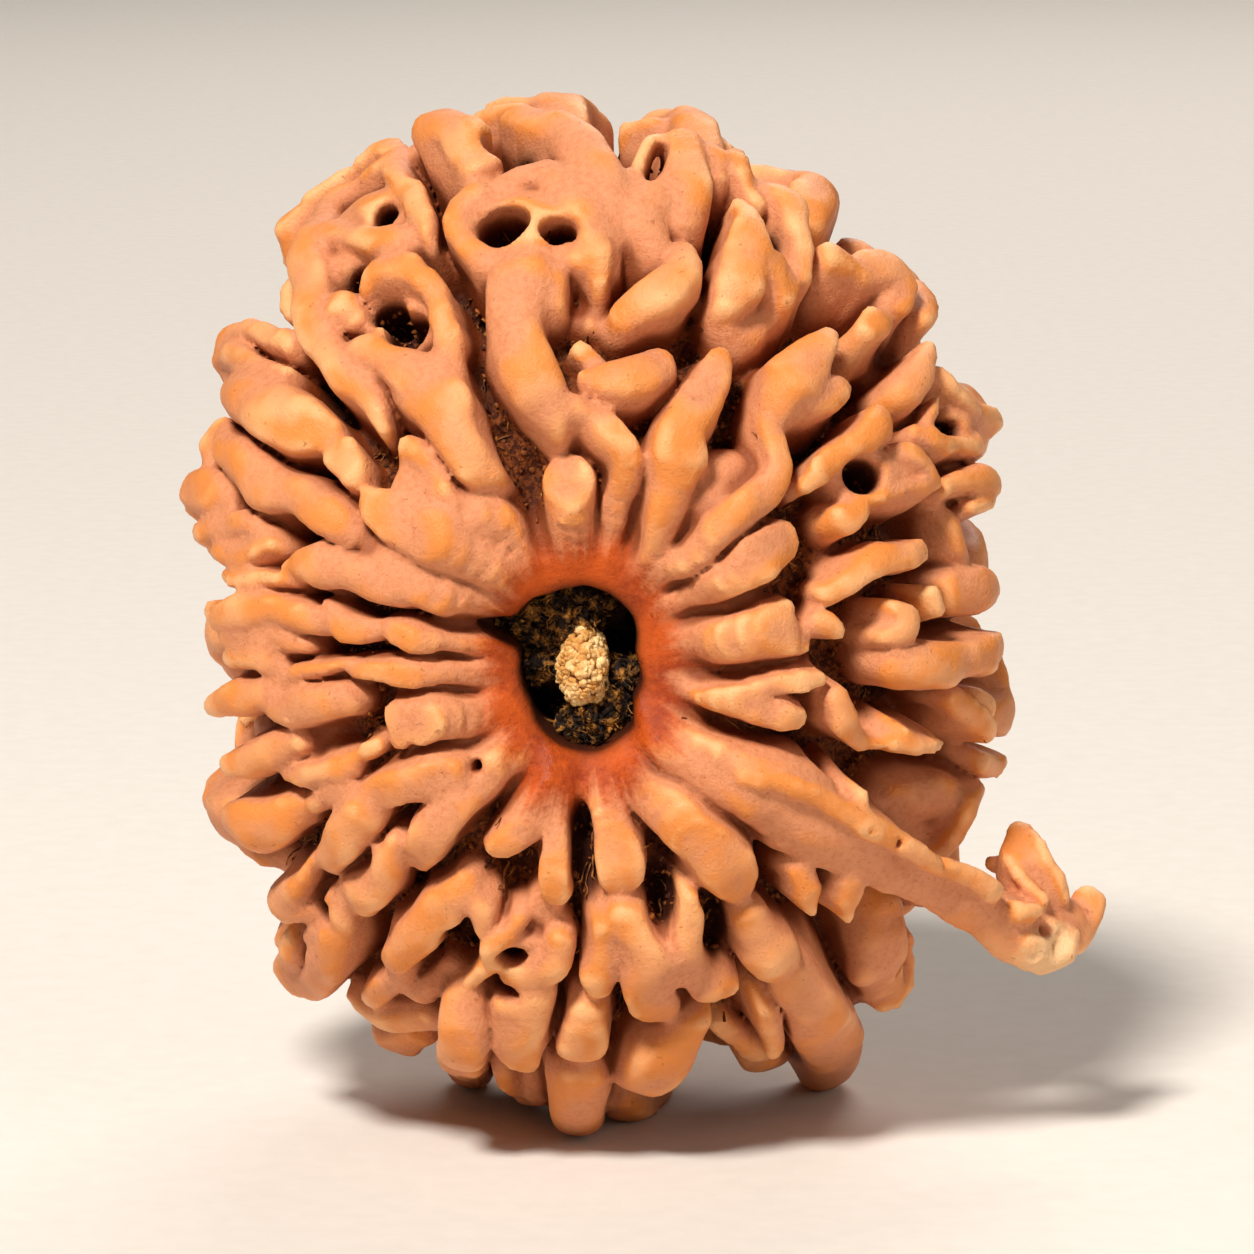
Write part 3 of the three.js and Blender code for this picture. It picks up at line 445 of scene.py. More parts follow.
fineLobes = {
    "eyed plate": lobe((500, 222, 40), (560, 225, 36), reach=-0.3),
    "rail plate": lobe((350, 220, 26), (385, 212, 26), (400, 235, 22), reach=-0.5),
    "rail plate low": lobe((335, 265, 26), (360, 262, 22), reach=-0.6),
    "ring plate": lobe((385, 318, 30), (425, 332, 26), reach=-0.6),
    "ring 2 plate": lobe((855, 478, 32), (905, 478, 24), reach=-0.5),
    "loop plate": lobe((518, 952, 26), (520, 990, 22), reach=-0.3),
    "ear plate": lobe((325, 925, 18), (315, 950, 16), reach=-0.2),
    "loop 3 plate": lobe((950, 420, 20), (985, 425, 14), reach=-0.5),
    "arch body": lobe(
        (515, 116, 16), (548, 128, 22), (580, 160, 27), (604, 200, 24), (616, 235, 18), reach=-0.2),
    "trunk web": lobe((880, 815, 22), (925, 835, 22), reach=-1.2),
    "level lobe wall": lobe((300, 650, 8), (265, 640, 6)),
    "shoulder low": lobe((288, 280, 9), (290, 310, 8), back=2),
    "claw spike": lobe((378, 850, 5), (380, 862, 5)),
    "claw low spur": lobe((350, 895, 12), (375, 895, 12)),
    "ear link": lobe((318, 908, 6), (340, 895, 6)),
    "small tip": lobe((470, 990, 7), (480, 975, 8)),
    "trunk leg fold": lobe((912, 938, 7), (909, 962, 7), (903, 985, 7), (894, 1006, 7), back=0.5),
    "spike 2": lobe((903, 728, 5), (915, 738, 5)),
    "small bump": lobe((935, 595, 8), (940, 610, 9)),
    "hook tip": lobe((893, 615, 8), (908, 618, 8)),
    "loop 3 left": lobe((938, 400, 6), (935, 425, 7)),
    "rim lobe 12": lobe((352, 762, 6), (375, 750, 8)),
    "trunk underside": lobe((750, 820, 14), (765, 835, 12)),
    "trunk knob": lobe((866, 793, 7), (862, 810, 8), reach=1),
    "finger bridge": lobe((583, 345, 9), (600, 360, 10), reach=-0.4),
    "below the right eye": lobe((565, 255, 12), (595, 262, 14)),
    "tongue fill": lobe((610, 470, 16), (600, 520, 12), reach=-1.2),
    "wave bumps": lobe((215, 425, 9), (212, 460, 11)),
    "outer rail low": lobe((330, 300, 20), (348, 315, 14)),
    "ear middle": lobe((280, 918, 10), (305, 910, 9)),
    "bar 1 wall": lobe((710, 615, 10), (750, 605, 12), reach=-0.6),
    "left foot tip 2": lobe((535, 1085, 12), (538, 1102, 11), back=3),
    "rim lobe 15": lobe((980, 695, 10), (990, 712, 9), back=1.5),
    "peak wall": lobe((770, 305, 14), (745, 335, 12), (738, 350, 8), reach=-1),
    "hump left": lobe((318, 188, 12), (338, 176, 15), back=2),
}


# Holes: [across, down, half width, half height, depth in millimetres]. A deep one is painted dark
# inside, for shade and dried pulp.
carving = {
    "lead": 1.5,
    "narrowing": 0.3,
    "margin": 0.5,
    "blend": 0.25,
    "darkBeyond": 1,
    "darkWall": (0.4, 0.05),
    "darkFrom": 0.15,
    "darkTo": 0.5,
}
holes = {
    "crown cavity": (508, 152, 24, 19, 2.6),
    "left eye": (505, 228, 27, 23, 3.2),
    "right eye": (558, 233, 20, 14, 2.4),
    "rail eye": (384, 213, 14, 20, 2.6),
    "rail pit": (354, 270, 18, 18, 3.4),
    "ring hole upper": (385, 308, 20, 17, 2.8),
    "ring hole": (404, 326, 23, 20, 3.2),
    "pin hole": (478, 765, 6, 7, 1.0),
    "ear hole": (324, 916, 8, 11, 1.8),
    "fibre hollow": (456, 940, 15, 15, 1.8),
    "loop hole": (511, 957, 16, 12, 2.6),
    "loop slit": (511, 992, 11, 6, 1.8),
    "leg slot": (583, 838, 10, 34, 1.9),
    "leg slot low": (584, 880, 12, 26, 2.2),
    "web slot left": (663, 905, 17, 34, 2.3),
    "web slot right": (716, 935, 13, 34, 2.2),
    "slit upper": (660, 156, 8, 13, 2.4),
    "slit middle": (655, 166, 8, 12, 2.4),
    "slit low": (650, 177, 7, 12, 2.4),
    "ear slot": (775, 236, 10, 14, 2.4),
    "loop 3 hole": (957, 422, 16, 10, 2.4),
    "ring 2 hole": (866, 474, 21, 18, 2.2),
    "trunk hollow": (1003, 872, 9, 6, 0.8),
    "trunk leg slot": (898, 966, 5, 15, 1.1),
}

# Thin webs of wood fill some grooves to half their depth: [across, down, radius, rise in mm].
# On the back they follow a swell instead.
backWebs = {"rise": 1.5, "swell": (2.4, 30), "from": -5.5, "to": -1.5}
webs = {
    "below the flame": (735, 335, 36, 1.7),
    "below the clouds": (868, 362, 36, 1.7),
    "behind the second ring": (928, 520, 36, 1.6),
    "below the third bar": (852, 568, 26, 1.2),
    "beside the stem": (590, 322, 24, 1.2),
    "upper left rim": (245, 372, 30, 1.0),
    "left rim": (262, 600, 34, 1.1),
    "lower left rim": (250, 680, 34, 1.2),
    "behind the pick": (330, 745, 30, 1.2),
    "behind the claw": (315, 800, 28, 1.0),
    "under the trunk": (890, 900, 40, 1.6),
    "low left": (400, 1000, 40, 1.2),
    "low middle": (625, 1030, 26, 1.0),
    "low right": (745, 1000, 24, 1.0),
}

# The trunk has a broken, pitted end and fine pores. Pits are [across, down, half size].
trunkEnd = {
    "y": -6.1,
    "pixel": (1046, 950),
    "pits": [
        (1030, 953, 7), (1045, 956, 7), (1060, 953, 8), (1034, 939, 6), (1047, 937, 6),
        (1070, 942, 6), (1057, 936, 5)],
    "pitDepth": 0.6,
    "pitBlend": 0.07,
    "pores": [(868, 830, 3, -11.1), (897, 842, 3, -10.3), (942, 861, 3, -9)],  # the last is y
    "poreDepth": 0.35,
    "poreBlend": 0.08,
}

# The back follows a rule: ridges run over the rim to the back mouth in two rows of lobes, with
# bumps and forks at their sides. from, to and lateBy are degrees from the rim.
back = {
    "ridges": 20,
    "firstAngle": math.radians(95.7),
    "seed": 20,
    "lobes": [
        {"from": -12, "to": 33, "halfWidth": 0.95, "reach": -0.5, "steps": 5},
        {"from": 42, "to": 68, "halfWidth": 0.8, "reach": -0.5, "steps": 3},
    ],
    "angleSpread": 0.1,
    "leanSpread": 0.25,
    "startSpread": 2.5,
    "endSpread": 3,
    "liftSpread": 0.25,
    "widthSpread": 0.2,
    "arch": 0.3,
    "bumpShare": 0.3,
    "bumpReach": 0.42,
    "lateRidges": (5, 15),
    "lateBy": 7,
    "lateDrop": 0.9,
    "tongue": [(70, -1.1, 0.55), (80, -1.9, 0.4)],  # degrees from the rim, reach, half width
    "fineSeed": 7,
    "fineBend": 0.1,
    "fineWidth": 0.14,
    "forkShare": 0.75,
    "notchAngle": math.radians(86.7),
}


def smooth(value, low, high):
    share = np.clip((value - low) / (high - low), 0, 1)
    return share * share * (3 - 2 * share)


def unit(vector):
    return vector / np.linalg.norm(vector)


def pointOnSight(pixel, reach=0.0, setBack=0.0):
    u, v = pixel[:2]
    half = sight["pixels"] / 2
    ray = forward * sight["distance"] + (across * (u - half) + upward * (half - v)) * pixelSize
    if len(pixel) > 3:
        return eye + ray * ((pixel[3] - eye[1]) / ray[1])
    mouthU, mouthV = stone["mouthPixel"]
    fromMouth = math.hypot(u - mouthU, (v - mouthV) / stone["canalHeightRatio"]) * pixelSize
    sunk = stone["dishDepth"] * (1 - smooth(fromMouth, stone["dishInner"], stone["dishOuter"]))
    size = np.array(stone["envelopeHalf"]) + reach - sunk
    start = (eye - stone["envelopeCentre"]) / size
    step = ray / size
    a, b = step @ step, start @ step
    inside = max(b * b - a * (start @ start - 1), 0.0)
    return eye + ray * ((-b - math.sqrt(inside)) / a + setBack / sight["distance"])


def rootUnder(point):
    fromCentre = point - stone["envelopeCentre"]
    size = np.linalg.norm(fromCentre / stone["rootHalf"])
    return stone["envelopeCentre"] + fromCentre * min(1 / size, stone["rootShare"])


def softMin(first, second, blend):
    meet = np.maximum(blend - np.abs(first - second), 0)
    return np.minimum(first, second) - meet * meet / (4 * blend)


def softMax(first, second, blend):
    return -softMin(-first, -second, blend)


# A box of space cut into small cubes, each holding its distance to the surface
class Space:
    def __init__(self, low, high, voxel):
        self.low = np.array(low)
        self.voxel = voxel
        self.axes = [
            np.arange(low[k], high[k] + voxel, voxel, dtype=np.float32) for k in range(3)]
        self.shape = tuple(len(axis) for axis in self.axes)
        self.distance = np.full(self.shape, 3.0, np.float32)
        self.nearest = np.full(self.shape, 3.0, np.float32)
        self.below = np.full(self.shape, 4.0, np.float32)
        self.pit = np.zeros(self.shape, np.float32)
        self.shifts = None

    def around(self, low, high):
        spans = []
        for k in range(3):
            first = int((low[k] - self.low[k]) / self.voxel)
            last = int((high[k] - self.low[k]) / self.voxel) + 2
            spans.append(slice(max(first, 0), max(min(last, self.shape[k]), 0)))
        return tuple(spans)

    def places(self, spans):
        x, y, z = (axis[span] for axis, span in zip(self.axes, spans))
        return x[:, None, None], y[None, :, None], z[None, None, :]

    # The same places, shifted a little here and there so that no lobe is quite regular
    def shifted(self, spans):
        return [place + shift[spans] for place, shift in zip(self.places(spans), self.shifts)]

    def sampled(self, values, points):
        at = (points - self.low) / self.voxel
        first = np.clip(at.astype(int), 0, np.array(self.shape) - 2)
        share = np.clip(at - first, 0, 1)
        total = np.zeros(len(points))
        for corner in np.ndindex(2, 2, 2):
            weight = np.prod(np.where(corner, share, 1 - share), axis=1)
            total += weight * values[tuple((first + corner).T)]
        return total


# A smooth curve through the crest points, which dips at both ends
def smoothed(crests, halves):
    ring = [2 * crests[0] - crests[1], *crests, 2 * crests[-1] - crests[-2]]
    points, widths = [], []
    for k in range(len(crests) - 1):
        before, first, last, after = ring[k:k + 4]
        steps = max(1, round(np.linalg.norm(last - first) / stone["stretch"]))
        for step in range(steps + (k == len(crests) - 2)):
            t = step / steps
            points.append(0.5 * (
                2 * first + (last - before) * t
                + (2 * before - 5 * first + 4 * last - after) * t ** 2
                + (3 * first - before - 3 * last + after) * t ** 3))
            widths.append(halves[k] + (halves[k + 1] - halves[k]) * smooth(t, 0, 1))
    gaps = [0.0] + [np.linalg.norm(b - a) for a, b in zip(points, points[1:])]
    travelled = np.cumsum(gaps)
    lowered = []
    for point, width, gone in zip(points, widths, travelled):
        fromTip = min(gone, travelled[-1] - gone) / (stone["tipReach"] * width)
        drop = stone["tipDrop"] * width * max(0.0, 1 - fromTip) ** 2
        lowered.append(point - unit(point - rootUnder(point)) * drop)
    return lowered, widths


def addRidge(space, crests, halves, horn=False):
    crests, halves = smoothed(crests, halves)
    outs, depths = [], []
    for crest, half in zip(crests, halves):
        toRoot = crest - rootUnder(crest)
        outs.append(unit(toRoot))
        depths.append(half * stone["hornDepth"] if horn else np.linalg.norm(toRoot))
    middle = sum(crests) / len(crests) - (stone["canalX"], 0, stone["canalZ"])
    fromCanal = math.hypot(middle[0], middle[2])
    isInner = 1 - smooth(fromCanal, stone["innerWithin"], stone["outerBeyond"])
    if middle[1] > 0:
        isInner = stone["innerShareOfBack"]

    def between(name):
        return stone[name + "Outer"] + isInner * (stone[name + "Inner"] - stone[name + "Outer"])

    slope = 0.0 if horn else between("wallSlope")
    power = between("crestPower")
    rise = between("crestRise")
    for k in range(len(crests) - 1):
        ends = slice(k, k + 2)
        tips = np.array(crests[ends])
        feet = tips - np.array(outs[ends]) * np.array(depths[ends])[:, None]
        margin = max(halves[ends]) + slope * max(depths[ends]) + stone["lobeMargin"]
        corners = np.vstack([tips, feet])
        spans = space.around(corners.min(0) - margin, corners.max(0) + margin)
        x, y, z = space.shifted(spans)
        along = tips[1] - tips[0]
        px, py, pz = x - tips[0][0], y - tips[0][1], z - tips[0][2]
        length = max(along @ along, 1e-6)
        share = np.clip((px * along[0] + py * along[1] + pz * along[2]) / length, 0, 1)
        turn = outs[k + 1] - outs[k]
        ox, oy, oz = (outs[k][n] + share * turn[n] for n in range(3))
        px = px - share * along[0]
        py = py - share * along[1]
        pz = pz - share * along[2]
        height = px * ox + py * oy + pz * oz
        depth = depths[k] + share * (depths[k + 1] - depths[k])
        sunk = np.clip(-height, 0, depth)
        radius = halves[k] + share * (halves[k + 1] - halves[k])
        radius = radius + slope * sunk
        aside = np.maximum(px * px + py * py + pz * pz - height * height, 0)
        over = np.maximum(height, 0) / rise + np.maximum(-height - depth, 0)
        reached = (aside ** (power / 2) + over ** power) ** (1 / power) - radius
        space.distance[spans] = softMin(space.distance[spans], reached, stone["lobeBlend"])
        closer = reached < space.nearest[spans]
        space.nearest[spans] = np.where(closer, reached, space.nearest[spans])
        space.below[spans] = np.where(closer, -height, space.below[spans])


def addLobe(space, row):
    crests = [pointOnSight(point, row["reach"], row["back"]) for point in row["path"]]
    halves = [point[2] * pixelSize for point in row["path"]]
    if row["foot"]:
        crests.append(np.array((row["foot"][0], row["foot"][1], stone["footHeight"])))
        halves.append(row["foot"][2])
    addRidge(space, crests, halves, row["horn"])


def seededDraw(seed):
    state = seed
    while True:
        state = state * 16807 % 2147483647
        yield state / 2147483647


def pointOnBack(angle, fromRim, reach):
    half = np.array(stone["envelopeHalf"]) + reach
    latitude = math.radians(fromRim)
    return np.array(stone["envelopeCentre"]) + half * (
        math.cos(latitude) * math.cos(angle), math.sin(latitude),
        math.cos(latitude) * math.sin(angle))


def addBack(space):
    draws = seededDraw(back["seed"])
    fine = seededDraw(back["fineSeed"])
    spacing = 2 * math.pi / back["ridges"]

    def spread(size):
        return (next(draws) * 2 - 1) * size

    def fineSpread(size):
        return (next(fine) * 2 - 1) * size

    def ridge(places, halves):
        addRidge(space, [pointOnBack(*place) for place in places], halves)

    for k in range(back["ridges"]):
        angle = back["firstAngle"] + spacing * (k + spread(back["angleSpread"]))
        for row in back["lobes"]:
            lean = spread(back["leanSpread"]) * spacing
            start = row["from"] + spread(back["startSpread"])
            if k in back["lateRidges"]:
                start += back["lateBy"]
            end = row["to"] + spread(back["endSpread"])
            middle = (start + end) / 2
            lift = row["reach"] + spread(back["liftSpread"])
            if k in back["lateRidges"]:
                lift -= back["lateDrop"]
            width = row["halfWidth"] * (1 + spread(back["widthSpread"]))
            places, halves = [], []
            for n in range(row["steps"]):
                share = n / (row["steps"] - 1)
                bulge = math.sin(math.pi * share)
                bend = fineSpread(back["fineBend"]) * spacing * bulge
                places.append((
                    angle + lean * (1 - 2 * share) + bend, start + (end - start) * share,
                    lift - back["arch"] + back["arch"] * bulge))
                halves.append(width * (0.8 + 0.15 * bulge + fineSpread(back["fineWidth"])))
            ridge(places, halves)
            if next(draws) < back["bumpShare"]:
                turn = -1 if next(draws) < 0.5 else 1
                ridge(
                    [(angle, middle, lift - 0.1),
                     (angle + turn * spacing * back["bumpReach"], middle + spread(5), lift - 0.4)],
                    [width * 0.7, width * 0.75])
            for side in (-1, 1):  # forks and small bumps on both sides of a lobe
                inNotch = abs(angle + side * spacing / 2 - back["notchAngle"]) < spacing / 2
                if next(fine) < back["forkShare"] and not inNotch:
                    where = 0.15 + 0.7 * next(fine)
                    latitude = start + (end - start) * where
                    reach = side * spacing * (0.3 + 0.16 * next(fine))
                    ridge(
                        [(angle, latitude, lift - 0.25),
                         (angle + reach, latitude + fineSpread(7), lift - 0.35 + fineSpread(0.3))],
                        [width * 0.8, width * (0.36 + 0.2 * next(fine))])
        if k % 2:  # short tongues reach in to the back mouth
            (outer, outerReach, outerHalf), (inner, innerReach, innerHalf) = back["tongue"]
            ridge(
                [(angle, outer, outerReach), (angle + 0.05, inner, innerReach)],
                [outerHalf, innerHalf])


# Signed distance to an outline in a plane, mirrored over its axis
def outlineDistance(px, py, corners):
    ring = list(corners) + [(-radius, y) for radius, y in reversed(corners) if radius > 0]
    nearest = np.full(np.broadcast(px, py).shape, 1e6, np.float32)
    inside = np.zeros(nearest.shape, bool)
    for (ax, ay), (bx, by) in zip(ring, ring[1:] + ring[:1]):
        ex, ey = bx - ax, by - ay
        if ex == 0 and ey == 0:
            continue
        share = np.clip(((px - ax) * ex + (py - ay) * ey) / (ex * ex + ey * ey), 0, 1)
        gapX, gapY = px - ax - share * ex, py - ay - share * ey
        nearest = np.minimum(nearest, gapX * gapX + gapY * gapY)
        if ey:
            inside ^= ((ay > py) != (by > py)) & (px < ex * (py - ay) / ey + ax)
    return np.sqrt(nearest) * np.where(inside, -1, 1)


# The core is the same all round the canal, so its distance is worked out once for each radius.
def coreDistance(space):
    x, y, z = space.places((slice(None),) * 3)
    radius = np.hypot(x - stone["canalX"], (z - stone["canalZ"]) / stone["coreHeightRatio"])
    step = 0.02
    radii = np.arange(0, radius.max() + 2 * step, step, dtype=np.float32)
    table = outlineDistance(radii[:, None], space.axes[1][None, :], coreProfile)
    found = table[(radius[:, 0, :] / step).astype(int)]
    return np.ascontiguousarray(found.transpose(0, 2, 1)), radius


def rimShare(angle):
    rim = [pointOnSight((u, v, 0, coreProfile[1][1])) for u, v in mouthRim]
    places = []
    for point in rim:
        dx = point[0] - stone["canalX"]
        dz = (point[2] - stone["canalZ"]) / stone["canalHeightRatio"]
        places.append((math.atan2(dz, dx), math.hypot(dx, dz) / canalProfile[3][0]))
    places.sort()
    angles, shares = np.array(places).T
    return np.interp(angle, angles, shares, period=2 * math.pi)


# How much wider than round the canal is: the rim's shape fades out behind the mouth.
def widening(angle, y):
    return 1 + (rimShare(angle) - 1) * (1 - smooth(y, stone["rimShapeFrom"], stone["rimShapeTo"]))


def carveCanal(space):
    spans = space.around(stone["canalLow"], stone["canalHigh"])
    x, y, z = space.places(spans)
    dx = x - stone["canalX"]
    dz = (z - stone["canalZ"]) / stone["canalHeightRatio"]
    hollow = outlineDistance(np.hypot(dx, dz) / widening(np.arctan2(dz, dx), y), y, canalProfile)
    space.distance[spans] = softMax(space.distance[spans], -hollow, stone["canalBlend"])
    # A mask of the canal's inner wall, which the finish paints dark as shade.
    wall = np.zeros(space.shape, np.float32)
    wall[spans] = smooth(hollow, 0.35, 0.1) * smooth(np.abs(y), 10.7, 10.2)
    return wall


# A hole narrows on its way in. It starts a little outside the surface, to open it fully.
def carveHole(space, pixel, wide, tall, depth, dark=False, blend=carving["blend"]):
    halfWide, halfTall = wide * pixelSize, tall * pixelSize
    mouth = pointOnSight(pixel)
    inward = unit(unit(rootUnder(mouth) - mouth) + forward)
    sideways = unit(across - inward * (across @ inward))
    upright = np.cross(sideways, inward)
    margin = max(halfWide, halfTall) + carving["margin"]
    ends = np.array([mouth - inward * carving["lead"], mouth + inward * depth])
    spans = space.around(ends.min(0) - margin, ends.max(0) + margin)
    parts = [place - start for place, start in zip(space.places(spans), mouth)]

    def measured(direction):
        return sum(part * size for part, size in zip(parts, direction))

    deep = measured(inward)
    narrow = 1 - carving["narrowing"] * np.clip(deep / depth, 0, 1)
    asideShare = measured(sideways) / (halfWide * narrow)
    upShare = measured(upright) / (halfTall * narrow)
    deepShare = np.maximum(deep / depth, 0)
    reached = np.sqrt(asideShare * asideShare + upShare * upShare + deepShare ** 4) - 1
    reached = np.maximum(reached * min(halfWide, halfTall), -deep - carving["lead"])
    space.distance[spans] = softMax(space.distance[spans], -reached, blend)
    # A deep hole's inside is marked for painted shade, which also stands for the dried pulp in it.
    if dark:
        pit = smooth(reached, *carving["darkWall"])
        pit = pit * smooth(deep, carving["darkFrom"] * depth, carving["darkTo"] * depth)
        space.pit[spans] = np.maximum(space.pit[spans], pit)


def carveHoles(space):
    for u, v, wide, tall, depth in holes.values():
        carveHole(space, (u, v), wide, tall, depth, dark=depth > carving["darkBeyond"])
    for u, v, size in trunkEnd["pits"]:
        carveHole(
            space, (u, v, 0, trunkEnd["y"]), size, size, trunkEnd["pitDepth"],
            blend=trunkEnd["pitBlend"])
    for u, v, size, y in trunkEnd["pores"]:
        carveHole(
            space, (u, v, 0, y), size, size, trunkEnd["poreDepth"], blend=trunkEnd["poreBlend"])


# Smooth random values between -1 and 1 over the whole space
def spaceNoise(space, size, seed):
    counts = [int((axis[-1] - axis[0]) / size) + 3 for axis in space.axes]
    values = np.random.default_rng(seed).uniform(-1, 1, counts).astype(np.float32)
    for k, axis in enumerate(space.axes):
        at = (axis - axis[0]) / size
        first = at.astype(int)
        share = smooth(at - first, 0, 1)
        weights = np.zeros((len(axis), counts[k]), np.float32)
        rows = np.arange(len(axis))
        weights[rows, first] = 1 - share
        weights[rows, first + 1] = share
        values = np.moveaxis(np.tensordot(weights, values, (1, k)), 0, k)
    return values


def swells(space, layers):
    return sum(height * spaceNoise(space, size, seed) for height, size, seed in layers)


# Two passes of a running average over the cubes around each one
def blurred(values, reach):
    steps = round(reach / stone["voxel"])
    for _ in range(2):
        for k in range(3):
            padded = np.pad(
                values, [(steps + 1, steps) if n == k else (0, 0) for n in range(3)], "edge")
            total = np.cumsum(padded, axis=k, dtype=np.float32)
            count = values.shape[k]
            width = 2 * steps + 1
            values = (np.take(total, range(width, width + count), k)
                      - np.take(total, range(count), k)) / width
    return values


# Only what hangs together with the stone is kept.
def largestBody(places, faces):
    labels = np.arange(len(places))
    edges = np.vstack([faces[:, [k, (k + 1) % 4]] for k in range(4)])
    while True:
        least = labels.copy()
        np.minimum.at(least, edges[:, 0], labels[edges[:, 1]])
        np.minimum.at(least, edges[:, 1], labels[edges[:, 0]])
        least = least[least]
        if np.array_equal(least, labels):
            break
        labels = least
    biggest = np.bincount(labels).argmax()
    kept = labels == biggest
    renumbered = np.cumsum(kept) - 1
    return places[kept], renumbered[faces[kept[faces[:, 0]]]]


def plainMesh(name, places, faces):
    mesh = bpy.data.meshes.new(name)
    mesh.from_pydata((np.array(places) * metre).tolist(), [], faces)
    mesh.shade_smooth()
    piece = bpy.data.objects.new(name, mesh)
    bpy.context.collection.objects.link(piece)
    return piece


# The result of a piece's modifiers, as a plain mesh
def evaluated(piece):
    depsgraph = bpy.context.evaluated_depsgraph_get()
    mesh = bpy.data.meshes.new_from_object(piece.evaluated_get(depsgraph))
    piece.modifiers.clear()
    mesh.name = piece.name
    piece.data = mesh
    return piece


# How far the floor of the grooves is raised: by rule on the back, as traced on the front
def webHeights(space):
    x, y, z = space.places((slice(None),) * 3)
    swell = smooth(spaceNoise(space, *backWebs["swell"]), 0.1, 0.55)
    heights = backWebs["rise"] * swell * smooth(y, backWebs["from"], backWebs["to"])
    for u, v, radius, rise in webs.values():
        centre = pointOnSight((u, v))
        sideways = x - centre[0]
        upwards = (z - centre[2]) * upward[2] + (y - centre[1]) * upward[1]
        reached = (sideways * sideways + upwards * upwards) / (radius * pixelSize) ** 2
        heights = heights + rise * np.exp(-reached) * smooth(-y, 0, 3)
    return heights


# Swells in the whole surface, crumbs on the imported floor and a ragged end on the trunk
def roughen(space, floor):
    x, y, z = space.places((slice(None),) * 3)
    end = pointOnSight((*trunkEnd["pixel"], 0, trunkEnd["y"]))
    fromEnd = np.sqrt((x - end[0]) ** 2 + (y - end[1]) ** 2 + (z - end[2]) ** 2)
    atEnd = smooth(fromEnd, surface["smoothBeyond"], surface["raggedWithin"])
    ragged = swells(space, surface["raggedEnd"]) * atEnd
    crumbly = swells(space, surface["crumbs"])
    space.distance += swells(space, surface["relief"]) + floor * crumbly + ragged
    space.distance = np.maximum(space.distance, -z)


def meshed(space, name):
    volume = openvdb.FloatGrid(3.0)
    volume.copyFromArray(np.clip(space.distance, -1, 1))
    places, _, faces = volume.convertToPolygons(0.0)
    faces = faces.astype(np.int64)
    places, faces = largestBody(places * space.voxel + space.low, faces)
    corners = places[faces]
    normals = np.cross(corners[:, 2] - corners[:, 0], corners[:, 3] - corners[:, 1])
    if (normals * corners.mean(1)).sum() < 0:
        faces = faces[:, ::-1]
    piece = plainMesh(name, places, faces.tolist())
    print("stone meshed:", len(faces), "faces")
    thinner = piece.modifiers.new("thinner", "DECIMATE")
    thinner.ratio = min(1.0, stone["trianglesKept"] / (2 * len(faces)))
    evaluated(piece)
    piece.data.shade_smooth()
    print("stone thinned:", len(piece.data.polygons), "faces")
    return piece


# Values at each point of the mesh, which the finish and the scattering read
def writeFields(space, piece, fields):
    points = np.empty(3 * len(piece.data.vertices))
    piece.data.vertices.foreach_get("co", points)
    points = points.reshape(-1, 3) / metre
    for name, values in fields.items():
        layer = piece.data.attributes.new(name, "FLOAT", "POINT")
        layer.data.foreach_set("value", space.sampled(values, points).astype(np.float32))


def makeStone():
    space = Space(stone["low"], stone["high"], stone["voxel"])
    aboveFloor = smooth(space.axes[2], surface["shiftsFrom"], surface["shiftsTo"])
    aboveFloor = aboveFloor[None, None, :].astype(np.float32)
    space.shifts = [aboveFloor * swells(space, layers) for layers in surface["shifts"]]
    for rows in (
            crown, upperLeft, left, lowerLeft, bottom, trunk, right, upperRight, fineLobes):
        for row in rows.values():
            addLobe(space, row)
    addBack(space)
    print("lobes laid")
    core, radius = coreDistance(space)
    raised = webHeights(space)
    filled = stone["groovePacking"] + raised
    core = core - filled * smooth(radius, stone["coreFrom"], stone["coreTo"])
    space.distance = softMin(space.distance, core, stone["coreBlend"])
    carveHoles(space)
    paintedCanalShade = carveCanal(space)
    print("holes carved")
    full = np.clip(0.5 - space.distance / stone["voxel"], 0, 1)
    fields = {name: blurred(full, reach) for name, reach in surface["reaches"].items()}
    floor = smooth(core, *surface["packedCore"]) * smooth(radius, *surface["packedRadius"])
    floor = floor * smooth(raised, *surface["packedWeb"])
    fields.update({"below": space.below, "floor": floor, "pit": space.pit, "paintedCanalShade": paintedCanalShade})
    roughen(space, floor)
    print("surface roughened")
    piece = meshed(space, "rudraksha_stone")
    writeFields(space, piece, fields)
    return piece


# Crumbs, fibres and grains are scattered by node trees with named inputs and a fixed seed.
# Fibres point away from the canal, give or take stray.
scattering = {"stray": 0.7, "smallest": 0.4, "largest": 1.5}


